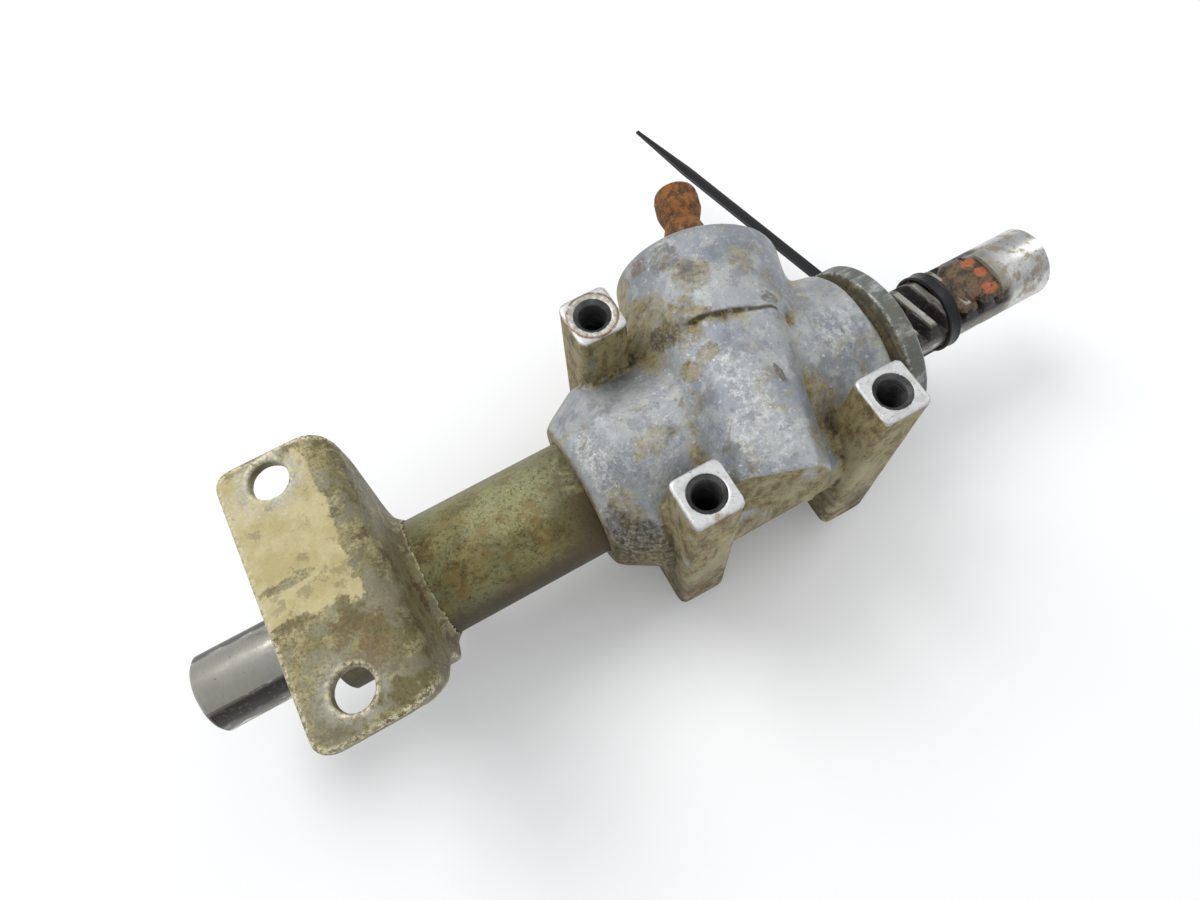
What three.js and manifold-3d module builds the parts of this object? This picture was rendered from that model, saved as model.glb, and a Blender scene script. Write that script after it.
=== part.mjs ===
// Manual rack-and-pinion steering gear, in millimetres, +Z up.
// X runs along the rack, Y along the far side, Z is square to the machined mounting pads.
// Everything is drawn about the rack axis, and the whole is lifted at the end so that the
// origin lies at the middle of the underside of its box.

import * as THREE from 'three';
import { mergeVertices } from 'three/addons/utils/BufferGeometryUtils.js';
import Module from 'manifold-3d';

const wasm = await Module();
wasm.setup();

const { PI, sin, cos, tan, sqrt, acos } = Math;
const radians = (degrees) => (degrees * PI) / 180;

// ---- driving dimensions ----------------------------------------------------------------

const GAP = 0.3; // running or fitting gap between neighbours

// rack bar and its teeth
const RACK_R = 12.5;
const RACK_LEFT = -150.4;
const RACK_RIGHT = 157.7;
const RACK_END_CHAMFER = 1;
const END_THREAD_R = 5.1;
const END_THREAD_DEPTH = 22;
const MODULE = 2.35; // normal module
const PRESSURE_ANGLE = radians(20);
const TOOTH_SLANT = radians(12); // tooth line away from Y, towards -X at the far side
const LAST_GULLET_X = 132.2; // where the rightmost gullet crosses the rack's middle plane
const GULLETS = 21;
const ADDENDUM = 0.9 * MODULE;
const DEDENDUM = 1.2 * MODULE;

// pinion
const PINION_TEETH = 6;
const PINION_ANGLE = radians(19); // pinion axis away from Y, towards +X at the far side
const PINION_CROSS_X = 31; // where the pinion axis passes over the rack's middle plane
const HELIX = PINION_ANGLE + TOOTH_SLANT;
const PITCH_R = (PINION_TEETH * MODULE) / cos(HELIX) / 2;
const PINION_Z = 16;
const PITCH_Z = PINION_Z - PITCH_R;
const PINION_TIP_R = PITCH_R + 0.95 * MODULE;
const FLANK_CLEARANCE = 0.2;
const TOOTH_START = -14;
const TOOTH_END = 15;
const JOURNAL_R = 6;
const JOURNAL_START = -30;
const SHAFT_R = 7.5;
const SERRATION_R = 8.1;
const SERRATION_DEPTH = 0.7;
const SERRATIONS = 18;
const WAIST_R = 5.9;
const STUB_BASE = 56; // stations along the pinion axis
const WAIST = 69.5;
const HEAD_START = 76;
const STUB_TIP = 84;

// housing
const SOCKET_LEFT = -23.5;
const RIM_R = 26.5;
const BARREL_R = 32.5;
const RIGHT_BARREL_R = 26.5;
const FLANGE_LEFT = 83.3;
const FLANGE_RIGHT = 90.3;
const FLANGE_R = 29.4;
const FLANGE_GROOVE_R = 24.8;
const TOWER_R = 27.9;
const TOWER_LEDGE = 16; // where the tower steps up from the ridge, along the pinion axis
const TOWER_RIM = 48.3;
const RIDGE_NEAR = -35.5;
const RIDGE_LEFT = 14; // half widths and heights about the pinion axis
const RIDGE_RIGHT = 19;
const RIDGE_TOP = 25.8;
const RIDGE_LOW = -8;
const PINION_BODY_R = 25.4; // round body under the ridge, about the pinion axis
const SHOULDER_PROFILE = [ // radius and station along the rack, from the tower to the flange
  [33.5, 38], [31, 54], [27.7, 69], [26.7, 69.3], [26.6, 74.5], [25.8, 74.8], [25.6, 79.5],
];
const SHOULDER_OFFSET = [4, 3]; // its axis, towards the far side and up
const NEAR_WEB = [2, 56]; // along the rack, from one near column to the other
const NEAR_WEB_FACE = -36.5;
const FAR_WEB_TOP = 22; // between the far column and the tower
const PAD_Z = 46.8;
const PAD_SIDE = 15.6;
const PAD_CORNER = 2.5;
const COLUMN_BOTTOM = -35;
const COLUMN_DRAFT_X = radians(0.8); // draft of the sides that face along the rack
const COLUMN_DRAFT_Y = radians(1.8); // draft of the sides that face across it
const COLUMNS = [[0.8, 31.6], [0.7, -31.2], [60, -31.2]];
const TAPPED_R = 4.4;
const TAPPED_CHAMFER_R = 5.7;
const TAPPED_DEPTH = 24;
const RACK_BORE_R = 13.6;

// tube, bushes and outer bracket
const TUBE_R = 19.65;
const TUBE_BORE_R = 15.6;
const TUBE_LEFT = -112;
const TUBE_RIGHT = -2;
const BUSH_R = TUBE_BORE_R - GAP;
const BUSH_BORE_R = RACK_R + GAP;
const OUTER_BUSH = [-110, -84];
const INNER_BUSH = [60.5, 85];
const RETAINING_RING = [85.8, 87.3];
const PLATE_LEFT = -114;
const PLATE_TOP = 46;
const PLATE_THICK = 4.7;
const PLATE_NEAR = -42.8;
const PLATE_FAR = 39.6;
const LEG_LEFT = -87;
const LEG_RIGHT = -80.3;
const LEG_BOTTOM = -25.7;
const BEND_R = 8;
const COLLAR_R = 25.7;
const WELD_RIGHT = -76.5;
const PLATE_HOLE_R = 5.6;
const PLATE_HOLES = [[-100, 31.2], [-100, -31.2]];

// bearing, seal and circlips on the pinion, as stations along its axis
const BEARING = [22.5, 33.5];
const BEARING_R = 17.4;
const BEARING_BORE_R = SHAFT_R + GAP;
const BEARING_PITCH_R = 12.6;
const BALL_R = 2.9;
const BALLS = 8;
const TOWER_BORE_R = BEARING_R + GAP;
const CIRCLIP = [34, 35.5];
const SHAFT_CIRCLIP = [33.9, 35.2];
const SEAL = [38, 45];
const LOWER_BUSH = [-29, -17.5];
const LOWER_BUSH_R = 8.6;

// rack support under the rack, opposite the pinion
const YOKE_R = 11.7;
const YOKE_BORE_R = YOKE_R + GAP;
const YOKE_TOP = -4;
const YOKE_BOTTOM = -25;
const YOKE_BOSS_R = 17;
const YOKE_BOSS_BOTTOM = -39;
const PLUG_THREAD_R = 13;
const PLUG_TOP = -29;
const PLUG_BOTTOM = -46;
const LOCK_NUT_FLATS = 36;
const LOCK_NUT_THICK = 5;
const SPRING_R = 5.4;
const SPRING_WIRE = 1.6;
const SPRING_TOP = -18;

// cable tie left round the rack
const TIE_X = [112.6, 117.4];
const TIE_THICK = 1.3;
const TIE_BAND_R = RACK_R + GAP;
const TIE_TAIL_TIP = [76.4, 137.6, -14.6];
const TIE_TAIL_ROOT = [110.6, -7, -14.6];
const TIE_TAIL_WIDTH = 4.6;

// ---- materials ---------------------------------------------------------------------------

const finish = (color, roughness, metalness) => ({ color, roughness, metalness });
const CAST = finish(0x8f9294, 0.55, 0.75);
const ZINC = finish(0x8c7f4f, 0.6, 0.6);
const GROUND_STEEL = finish(0xb4b4b2, 0.3, 1);
const BEARING_STEEL = finish(0xa9abad, 0.22, 1);
const SPRING_STEEL = finish(0x3c3d40, 0.4, 0.9);
const BRONZE = finish(0x9a6a3a, 0.4, 0.9);
const RUSTY_STEEL = finish(0x8a5327, 0.75, 0.5);
const NITRILE = finish(0x1c1c1d, 0.8, 0);
const NYLON = finish(0x151517, 0.35, 0);
const CAGE = finish(0xa98a4a, 0.35, 0.9);

// ---- solids ------------------------------------------------------------------------------

function solid(geometry) {
  const bare = geometry.index ? geometry.toNonIndexed() : geometry.clone();
  bare.deleteAttribute('normal');
  bare.deleteAttribute('uv');
  const merged = mergeVertices(bare, 1e-4);
  return new wasm.Manifold(new wasm.Mesh({
    numProp: 3,
    vertProperties: new Float32Array(merged.attributes.position.array),
    triVerts: new Uint32Array(merged.index.array),
  }));
}

function geometryOf(manifold) {
  const { vertProperties, triVerts, numProp } = manifold.getMesh();
  const geometry = new THREE.BufferGeometry();
  const points = new Float32Array((vertProperties.length / numProp) * 3);
  for (let i = 0; i < points.length / 3; i += 1) {
    for (let k = 0; k < 3; k += 1) points[3 * i + k] = vertProperties[numProp * i + k];
  }
  geometry.setAttribute('position', new THREE.BufferAttribute(points, 3));
  geometry.setIndex(new THREE.BufferAttribute(new Uint32Array(triVerts), 1));
  geometry.computeVertexNormals();
  return geometry;
}

function union(solids) {
  return solids.reduce((whole, piece) => whole.add(piece));
}

// A body of revolution about Z from a list of [radius, height] points.
function turned(profile, sides = 32) {
  const points = profile.map(([r, z]) => new THREE.Vector2(r, z));
  points.push(points[0].clone());
  const geometry = new THREE.LatheGeometry(points, sides);
  geometry.rotateX(PI / 2);
  const body = solid(geometry);
  return body.volume() < 0 ? solid(flipped(geometry)) : body;
}

function flipped(geometry) {
  const copy = geometry.clone();
  const index = copy.index.array;
  for (let i = 0; i < index.length; i += 3) {
    [index[i + 1], index[i + 2]] = [index[i + 2], index[i + 1]];
  }
  return copy;
}

function disc(radius, [from, to], sides = 32) {
  return turned([[0, from], [radius, from], [radius, to], [0, to]], sides);
}

function ring(inner, outer, [from, to], sides = 32) {
  return turned([[inner, from], [outer, from], [outer, to], [inner, to]], sides);
}

function moved(body, matrix) {
  return body.transform(matrix.elements);
}

const ALONG_X = new THREE.Matrix4().makeBasis(
  new THREE.Vector3(0, 1, 0), new THREE.Vector3(0, 0, 1), new THREE.Vector3(1, 0, 0));

const PINION_AXIS = new THREE.Vector3(sin(PINION_ANGLE), cos(PINION_ANGLE), 0);
const PINION_FRAME = new THREE.Matrix4().makeBasis(
  new THREE.Vector3(-cos(PINION_ANGLE), sin(PINION_ANGLE), 0),
  new THREE.Vector3(0, 0, 1),
  PINION_AXIS,
).setPosition(PINION_CROSS_X, 0, PINION_Z);

const YOKE_FRAME = new THREE.Matrix4().makeTranslation(PINION_CROSS_X, 0, 0);

const alongRack = (body) => moved(body, ALONG_X);
const alongPinion = (body) => moved(body, PINION_FRAME);
const atYoke = (body) => moved(body, YOKE_FRAME);

// Outline with rounded corners, in the order of its corners.
function roundedShape(corners, radii) {
  const shape = new THREE.Shape();
  const count = corners.length;
  corners.forEach((corner, i) => {
    const here = new THREE.Vector2(...corner);
    const before = new THREE.Vector2(...corners[(i + count - 1) % count]);
    const after = new THREE.Vector2(...corners[(i + 1) % count]);
    const radius = Array.isArray(radii) ? radii[i] : radii;
    const toBefore = before.sub(here).normalize();
    const toAfter = after.sub(here).normalize();
    const reach = radius / tan(acos(toBefore.dot(toAfter)) / 2);
    const start = here.clone().addScaledVector(toBefore, reach);
    const end = here.clone().addScaledVector(toAfter, reach);
    if (i === 0) shape.moveTo(start.x, start.y);
    else shape.lineTo(start.x, start.y);
    if (radius > 0) shape.quadraticCurveTo(here.x, here.y, end.x, end.y);
  });
  shape.closePath();
  return shape;
}

function extruded(shape, [from, to], curveSegments = 5) {
  const geometry = new THREE.ExtrudeGeometry(shape, {
    depth: to - from, bevelEnabled: false, curveSegments,
  });
  geometry.translate(0, 0, from);
  return solid(geometry);
}

// An upright extrusion whose section grows from the top down by its draft angles.
function drafted(shape, [bottom, top], [draftX, draftY], halfSize) {
  const geometry = new THREE.ExtrudeGeometry(shape, {
    depth: top - bottom, bevelEnabled: false, curveSegments: 4,
  });
  geometry.translate(0, 0, bottom);
  const position = geometry.attributes.position;
  for (let i = 0; i < position.count; i += 1) {
    const drop = (top - position.getZ(i)) / halfSize;
    position.setX(i, position.getX(i) * (1 + drop * tan(draftX)));
    position.setY(i, position.getY(i) * (1 + drop * tan(draftY)));
  }
  return solid(geometry);
}

function part(name, body, { color, roughness, metalness }) {
  const material = new THREE.MeshStandardMaterial({ color, roughness, metalness });
  const mesh = new THREE.Mesh(geometryOf(body), material);
  mesh.name = name;
  return mesh;
}

// ---- rack --------------------------------------------------------------------------------

const NORMAL_PITCH = PI * MODULE;
const RACK_PITCH = NORMAL_PITCH / cos(TOOTH_SLANT);

function gulletCutter(x) {
  const half = NORMAL_PITCH / 4;
  const bottomHalf = half - DEDENDUM * tan(PRESSURE_ANGLE);
  const top = RACK_R + 1;
  const topHalf = half + (top - PITCH_Z) * tan(PRESSURE_ANGLE);
  const section = new THREE.Shape([
    new THREE.Vector2(-topHalf, top),
    new THREE.Vector2(-bottomHalf, PITCH_Z - DEDENDUM),
    new THREE.Vector2(bottomHalf, PITCH_Z - DEDENDUM),
    new THREE.Vector2(topHalf, top),
  ]);
  const across = new THREE.Vector3(cos(TOOTH_SLANT), sin(TOOTH_SLANT), 0);
  const line = new THREE.Vector3(sin(TOOTH_SLANT), -cos(TOOTH_SLANT), 0);
  const frame = new THREE.Matrix4().makeBasis(across, new THREE.Vector3(0, 0, 1), line);
  frame.setPosition(x, 0, 0);
  return moved(extruded(section, [-RACK_R * 1.2, RACK_R * 1.2]), frame);
}

function rackBar() {
  const c = RACK_END_CHAMFER;
  const bar = alongRack(turned([
    [0, RACK_LEFT], [RACK_R - c, RACK_LEFT], [RACK_R, RACK_LEFT + c],
    [RACK_R, RACK_RIGHT - c], [RACK_R - c, RACK_RIGHT], [0, RACK_RIGHT],
  ], 40));
  const cuts = [];
  for (let i = 0; i < GULLETS; i += 1) cuts.push(gulletCutter(LAST_GULLET_X - i * RACK_PITCH));
  const flat = new THREE.BoxGeometry(1, 1, 1);
  const flatLength = GULLETS * RACK_PITCH;
  const tipZ = PITCH_Z + ADDENDUM;
  flat.scale(flatLength, 2 * RACK_R, RACK_R);
  flat.translate(LAST_GULLET_X - flatLength / 2 + RACK_PITCH / 2, 0, tipZ + RACK_R / 2);
  cuts.push(solid(flat));
  const hole = [[0, 0], [END_THREAD_R + 1, 0], [END_THREAD_R, 1],
    [END_THREAD_R, END_THREAD_DEPTH], [0, END_THREAD_DEPTH + 3]];
  cuts.push(alongRack(turned(hole.map(([r, z]) => [r, RACK_LEFT + z]), 20)));
  cuts.push(alongRack(turned(hole.map(([r, z]) => [r, RACK_RIGHT - z]).reverse(), 20)));
  return bar.subtract(union(cuts));
}

// ---- pinion shaft ------------------------------------------------------------------------

// Radius of the pinion's section at an angle from its tooth centre: the section is what is
// left of a blank after the rack's own teeth have rolled past it.
function generatedRadius(angle) {
  const half = (PI * PITCH_R) / PINION_TEETH / 2 + FLANK_CLEARANCE;
  const slope = tan(PRESSURE_ANGLE) / cos(HELIX);
  const reach = ADDENDUM + FLANK_CLEARANCE;
  let radius = PINION_TIP_R;
  for (let i = -30; i <= 30; i += 1) {
    const roll = i * 0.025;
    const direction = angle + roll;
    for (let tooth = -2; tooth <= 2; tooth += 1) {
      const middle = (2 * PI * PITCH_R * (tooth + 0.5)) / PINION_TEETH + PITCH_R * roll;
      for (let r = PITCH_R - reach; r < radius; r += 0.05) {
        const height = r * cos(direction) - PITCH_R;
        const across = r * sin(direction) - middle;
        if (height > -reach && Math.abs(across) < half + height * slope) {
          radius = r;
          break;
        }
      }
    }
  }
  return radius;
}

function helicalTeeth() {
  const perTooth = 8;
  const count = perTooth * PINION_TEETH;
  const radii = [];
  for (let i = 0; i < perTooth; i += 1) {
    radii.push(generatedRadius(((i - perTooth / 2) / perTooth) * (2 * PI / PINION_TEETH)));
  }
  const layers = 18;
  const points = [];
  const faces = [];
  const slantPerLength = tan(HELIX) / PITCH_R;
  for (let layer = 0; layer <= layers; layer += 1) {
    const s = TOOTH_START + ((TOOTH_END - TOOTH_START) * layer) / layers;
    for (let i = 0; i < count; i += 1) {
      const angle = ((i - perTooth / 2) / perTooth) * ((2 * PI) / PINION_TEETH);
      const turn = angle + PINION_PHASE - s * slantPerLength;
      const r = radii[i % perTooth];
      points.push(-r * sin(turn), -r * cos(turn), s);
    }
  }
  for (let layer = 0; layer < layers; layer += 1) {
    for (let i = 0; i < count; i += 1) {
      const a = layer * count + i;
      const b = layer * count + ((i + 1) % count);
      faces.push(a, b + count, b, a, a + count, b + count);
    }
  }
  const bottom = points.length / 3;
  points.push(0, 0, TOOTH_START, 0, 0, TOOTH_END);
  for (let i = 0; i < count; i += 1) {
    const next = (i + 1) % count;
    faces.push(bottom, i, next);
    faces.push(bottom + 1, layers * count + next, layers * count + i);
  }
  const geometry = new THREE.BufferGeometry();
  geometry.setAttribute('position', new THREE.BufferAttribute(new Float32Array(points), 3));
  geometry.setIndex(faces);
  const body = solid(geometry);
  return body.volume() < 0 ? solid(flipped(geometry)) : body;
}

// Turns the pinion so that one tooth stands in the gullet under its axis.
const GULLET_OFFSET = ((LAST_GULLET_X - PINION_CROSS_X) / RACK_PITCH) % 1;
const PINION_PHASE = GULLET_OFFSET * ((2 * PI) / PINION_TEETH);

function serratedSleeve([from, to]) {
  const shape = new THREE.Shape();
  for (let i = 0; i < 2 * SERRATIONS; i += 1) {
    const r = i % 2 ? SERRATION_R : SERRATION_R - SERRATION_DEPTH;
    const angle = (i * PI) / SERRATIONS;
    if (i === 0) shape.moveTo(r, 0);
    else shape.lineTo(r * cos(angle), r * sin(angle));
  }
  shape.closePath();
  return extruded(shape, [from, to]);
}

function pinionShaft() {
  const groove = SHAFT_R - 0.8;
  const core = turned([
    [0, JOURNAL_START], [JOURNAL_R - 1, JOURNAL_START], [JOURNAL_R, JOURNAL_START + 1],
    [JOURNAL_R, TOOTH_START + 0.01], [JOURNAL_R - 0.6, TOOTH_START + 0.02],
    [JOURNAL_R - 0.6, TOOTH_END - 0.5], [SHAFT_R + 1.6, TOOTH_END - 0.5],
    [SHAFT_R + 1.6, BEARING[0] - GAP], [SHAFT_R, BEARING[0] - GAP],
    [SHAFT_R, SHAFT_CIRCLIP[0] - GAP], [groove, SHAFT_CIRCLIP[0] - GAP],
    [groove, SHAFT_CIRCLIP[1] + GAP], [SHAFT_R, SHAFT_CIRCLIP[1] + GAP],
    [SHAFT_R, STUB_BASE - 2], [WAIST_R, STUB_BASE - 0.5],
    [WAIST_R, HEAD_START + 1], [WAIST_R, STUB_TIP - 1], [0, STUB_TIP - 1],
  ], 28);
  const limit = turned([
    [0, STUB_BASE - 1], [SERRATION_R + 0.2, STUB_BASE - 1], [SERRATION_R + 0.4, STUB_BASE + 3],
    [SERRATION_R - 0.6, WAIST - 4], [WAIST_R + 0.3, WAIST], [SERRATION_R - 0.9, WAIST + 3],
    [SERRATION_R + 0.4, HEAD_START], [SERRATION_R + 0.4, STUB_TIP - 4],
    [SERRATION_R - 0.8, STUB_TIP - 1], [SERRATION_R - 2.6, STUB_TIP], [0, STUB_TIP],
  ], 28);
  const stub = serratedSleeve([STUB_BASE - 0.5, STUB_TIP]).intersect(limit);
  return alongPinion(union([core, helicalTeeth(), stub]));
}

// ---- housing -----------------------------------------------------------------------------

function column([x, y]) {
  const half = PAD_SIDE / 2;
  const corners = [[-half, -half], [half, -half], [half, half], [-half, half]];
  const drafts = [COLUMN_DRAFT_X, COLUMN_DRAFT_Y];
  const body = drafted(roundedShape(corners, PAD_CORNER), [COLUMN_BOTTOM, PAD_Z], drafts, half);
  return body.translate([x, y, 0]);
}

function tappedHole([x, y]) {
  const depth = PAD_Z - TAPPED_DEPTH;
  const chamfer = TAPPED_CHAMFER_R - TAPPED_R;
  return turned([
    [0, depth - 2.5], [TAPPED_R, depth], [TAPPED_R, PAD_Z - chamfer],
    [TAPPED_CHAMFER_R, PAD_Z], [TAPPED_CHAMFER_R, PAD_Z + 1], [0, PAD_Z + 1],
  ], 24).translate([x, y, 0]);
}

// The ridge over the pinion, in the pinion's frame: X there points away from the toothed end.
function ridge() {
  const corners = [
    [-RIDGE_RIGHT, RIDGE_LOW], [RIDGE_LEFT, RIDGE_LOW], [RIDGE_LEFT, RIDGE_TOP - 8],
    [RIDGE_LEFT - 7, RIDGE_TOP], [-RIDGE_RIGHT + 5, RIDGE_TOP], [-RIDGE_RIGHT, RIDGE_TOP - 6],
  ];
  return extruded(roundedShape(corners, [2, 2, 4, 4, 3, 3]), [RIDGE_NEAR, TOWER_LEDGE + 3]);
}

// Rounds the flanks of the ridge and fades out towards its near end.
function pinionBody() {
  return turned([
    [0, RIDGE_NEAR + 4], [12, RIDGE_NEAR + 4], [20, RIDGE_NEAR + 13], [24, -6],
    [PINION_BODY_R, 8], [PINION_BODY_R, TOWER_LEDGE + 2], [0, TOWER_LEDGE + 2],
  ], 48);
}

// Joins the two near columns under the ridge; drawn as Y and Z, and run along the rack.
function nearWeb() {
  const corners = [
    [0, -14], [-31, -14], [NEAR_WEB_FACE + 0.5, -6], [NEAR_WEB_FACE, 5],
    [NEAR_WEB_FACE + 2, 13], [-27, 20], [0, 20],
  ];
  return extruded(roundedShape(corners, [1, 3, 3, 3, 3, 3, 1]), NEAR_WEB, 3);
}

// Fills the corner between the far column and the tower.
function farWeb() {
  const corners = [[4, 18], [30, 18], [30, 33], [4, 36]];
  return extruded(roundedShape(corners, 1), [-15, FAR_WEB_TOP], 2);
}

// The barrel's fuller top and far side, falling from the tower to the flange in shallow steps.
function shoulder() {
  const first = SHOULDER_PROFILE[0][1];
  const last = SHOULDER_PROFILE[SHOULDER_PROFILE.length - 1][1];
  return turned([[0, first], ...SHOULDER_PROFILE, [0, last]], 48).translate([...SHOULDER_OFFSET, 0]);
}

function housing() {
  const barrel = alongRack(turned([
    [0, SOCKET_LEFT], [RIM_R - 2, SOCKET_LEFT], [RIM_R, SOCKET_LEFT + 2.5],
    [BARREL_R, SOCKET_LEFT + 13], [BARREL_R, 12], [BARREL_R - 2, 40], [RIGHT_BARREL_R + 2, 50],
    [RIGHT_BARREL_R + 1, 64], [RIGHT_BARREL_R, 66], [RIGHT_BARREL_R, FLANGE_LEFT - 3],
    [FLANGE_GROOVE_R, FLANGE_LEFT - 2.4], [FLANGE_GROOVE_R, FLANGE_LEFT],
    [FLANGE_R, FLANGE_LEFT + 0.6], [FLANGE_R, FLANGE_RIGHT - 1], [FLANGE_R - 1, FLANGE_RIGHT],
    [0, FLANGE_RIGHT],
  ], 48));
  const tower = alongPinion(turned([
    [0, TOWER_LEDGE], [TOWER_R - 1, TOWER_LEDGE], [TOWER_R, TOWER_LEDGE + 1],
    [TOWER_R, TOWER_RIM - 1.5],
    [TOWER_R - 1.5, TOWER_RIM], [0, TOWER_RIM],
  ], 48));
  const yokeBoss = atYoke(turned([
    [0, YOKE_BOSS_BOTTOM], [YOKE_BOSS_R - 1, YOKE_BOSS_BOTTOM], [YOKE_BOSS_R, YOKE_BOSS_BOTTOM + 1],
    [YOKE_BOSS_R + 1.5, -14], [0, -14],
  ], 32));
  const outside = union([
    barrel, alongRack(shoulder()), tower, alongPinion(pinionBody()), alongPinion(ridge()),
    alongRack(nearWeb()), farWeb(), yokeBoss, ...COLUMNS.map(column),
  ]);

  const rackBore = alongRack(turned([
    [0, SOCKET_LEFT - 1], [TUBE_R + GAP, SOCKET_LEFT - 1], [TUBE_R + GAP, TUBE_RIGHT + GAP],
    [RACK_BORE_R, TUBE_RIGHT + GAP], [RACK_BORE_R, INNER_BUSH[0] - GAP],
    [BUSH_R + GAP, INNER_BUSH[0] - GAP], [BUSH_R + GAP, RETAINING_RING[0] - GAP],
    [BUSH_R + 1.8, RETAINING_RING[0] - GAP], [BUSH_R + 1.8, RETAINING_RING[1] + GAP],
    [BUSH_R + GAP, RETAINING_RING[1] + GAP], [BUSH_R + GAP, FLANGE_RIGHT + 1],
    [0, FLANGE_RIGHT + 1],
  ], 40));
  const pinionBore = alongPinion(turned([
    [0, LOWER_BUSH[0] - 3], [LOWER_BUSH_R + GAP, LOWER_BUSH[0] - 3],
    [LOWER_BUSH_R + GAP, LOWER_BUSH[1] + GAP], [PINION_TIP_R + 1.4, LOWER_BUSH[1] + GAP],
    [PINION_TIP_R + 1.4, BEARING[0] - GAP], [TOWER_BORE_R, BEARING[0] - GAP],
    [TOWER_BORE_R, CIRCLIP[0] - GAP], [TOWER_BORE_R + 1.5, CIRCLIP[0] - GAP],
    [TOWER_BORE_R + 1.5, CIRCLIP[1] + GAP], [TOWER_BORE_R, CIRCLIP[1] + GAP],
    [TOWER_BORE_R, TOWER_RIM - 1], [TOWER_BORE_R + 1, TOWER_RIM + 1], [0, TOWER_RIM + 1],
  ], 36));
  const yokeBore = atYoke(turned([
    [0, YOKE_BOSS_BOTTOM - 1], [PLUG_THREAD_R + GAP, YOKE_BOSS_BOTTOM - 1],
    [PLUG_THREAD_R + GAP, YOKE_BOTTOM - 3], [YOKE_BORE_R, YOKE_BOTTOM - 2], [YOKE_BORE_R, 0], [0, 0],
  ], 32));
  return outside.subtract(union([rackBore, pinionBore, yokeBore, ...COLUMNS.map(tappedHole)]));
}

// ---- tube, bracket and bushes ------------------------------------------------------------

function rackTube() {
  return alongRack(ring(TUBE_BORE_R, TUBE_R, [TUBE_LEFT, TUBE_RIGHT], 40));
}

// The bracket is a bent strip, trimmed to one outline from above and another from the end.
function outerBracket() {
  const inner = PLATE_TOP - PLATE_THICK;
  const strip = roundedShape([
    [PLATE_LEFT, PLATE_TOP], [PLATE_LEFT, inner], [LEG_LEFT, inner], [LEG_LEFT, LEG_BOTTOM],
    [LEG_RIGHT, LEG_BOTTOM], [LEG_RIGHT, PLATE_TOP],
  ], [0.6, 0.6, BEND_R - PLATE_THICK, 0.6, 0.6, BEND_R]);
  const acrossY = new THREE.Matrix4().makeBasis(
    new THREE.Vector3(1, 0, 0), new THREE.Vector3(0, 0, 1), new THREE.Vector3(0, -1, 0));
  const bent = moved(extruded(strip, [-50, 50]), acrossY);
  const plan = extruded(roundedShape([
    [PLATE_LEFT, PLATE_NEAR], [LEG_RIGHT + 1, PLATE_NEAR], [LEG_RIGHT + 1, PLATE_FAR],
    [PLATE_LEFT, PLATE_FAR],
  ], [6, 11, 11, 6]), [LEG_BOTTOM - 1, PLATE_TOP + 1]);
  const endOn = alongRack(extruded(roundedShape([
    [PLATE_NEAR - 1, PLATE_TOP + 1], [PLATE_NEAR + 0.6, inner - 2], [-COLLAR_R - 0.5, 4],
    [-COLLAR_R, -10], [-14, LEG_BOTTOM], [14, LEG_BOTTOM], [COLLAR_R, -10],
    [COLLAR_R + 0.5, 4], [PLATE_FAR - 0.6, inner - 2], [PLATE_FAR + 1, PLATE_TOP + 1],
  ], [0.5, 6, 6, 6, 9, 9, 6, 6, 6, 0.5]), [PLATE_LEFT - 1, LEG_RIGHT + 1]));
  const weld = alongRack(turned([
    [0, LEG_LEFT + 1], [COLLAR_R - 1, LEG_LEFT + 1], [COLLAR_R - 1, LEG_RIGHT],
    [TUBE_R + 2.5, LEG_RIGHT + 0.8], [TUBE_R + 0.5, WELD_RIGHT], [0, WELD_RIGHT],
  ], 40));
  const bore = alongRack(disc(TUBE_R + GAP, [LEG_LEFT - 2, WELD_RIGHT + 2], 40));
  const holes = PLATE_HOLES.map(([x, y]) => disc(PLATE_HOLE_R, [inner - 3, PLATE_TOP + 1], 28)
    .translate([x, y, 0]));
  return bent.intersect(plan).intersect(endOn).add(weld).subtract(union([bore, ...holes]));
}

// ---- the rest ------------------------------------------------------------------------------

function bearingOuterRace() {
  const groove = BEARING_PITCH_R + BALL_R + 0.1;
  const inner = BEARING_PITCH_R + 1.5;
  const middle = (BEARING[0] + BEARING[1]) / 2;
  return alongPinion(turned([
    [inner, BEARING[0]], [BEARING_R - 0.6, BEARING[0]], [BEARING_R, BEARING[0] + 0.6],
    [BEARING_R, BEARING[1] - 0.6], [BEARING_R - 0.6, BEARING[1]], [inner, BEARING[1]],
    [inner, middle + 2.7], [groove, middle + 1.2], [groove, middle - 1.2], [inner, middle - 2.7],
  ], 36));
}

function bearingInnerRace() {
  const groove = BEARING_PITCH_R - BALL_R - 0.1;
  const outer = BEARING_PITCH_R - 1.5;
  const middle = (BEARING[0] + BEARING[1]) / 2;
  return alongPinion(turned([
    [BEARING_BORE_R, BEARING[0]], [outer, BEARING[0]], [outer, middle - 2.7],
    [groove, middle - 1.2], [groove, middle + 1.2], [outer, middle + 2.7], [outer, BEARING[1]],
    [BEARING_BORE_R, BEARING[1]],
  ], 36));
}

function bearingCage() {
  const middle = (BEARING[0] + BEARING[1]) / 2;
  const band = ring(BEARING_PITCH_R - 0.7, BEARING_PITCH_R + 0.7, [middle - 2, middle + 2], 32);
  const balls = [];
  for (let i = 0; i < BALLS; i += 1) {
    const angle = (2 * PI * i) / BALLS;
    const ball = new THREE.SphereGeometry(BALL_R - 0.2, 8, 6);
    ball.translate(BEARING_PITCH_R * cos(angle), BEARING_PITCH_R * sin(angle), middle);
    balls.push(solid(ball));
  }
  return alongPinion(union([band, ...balls]));
}

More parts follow.
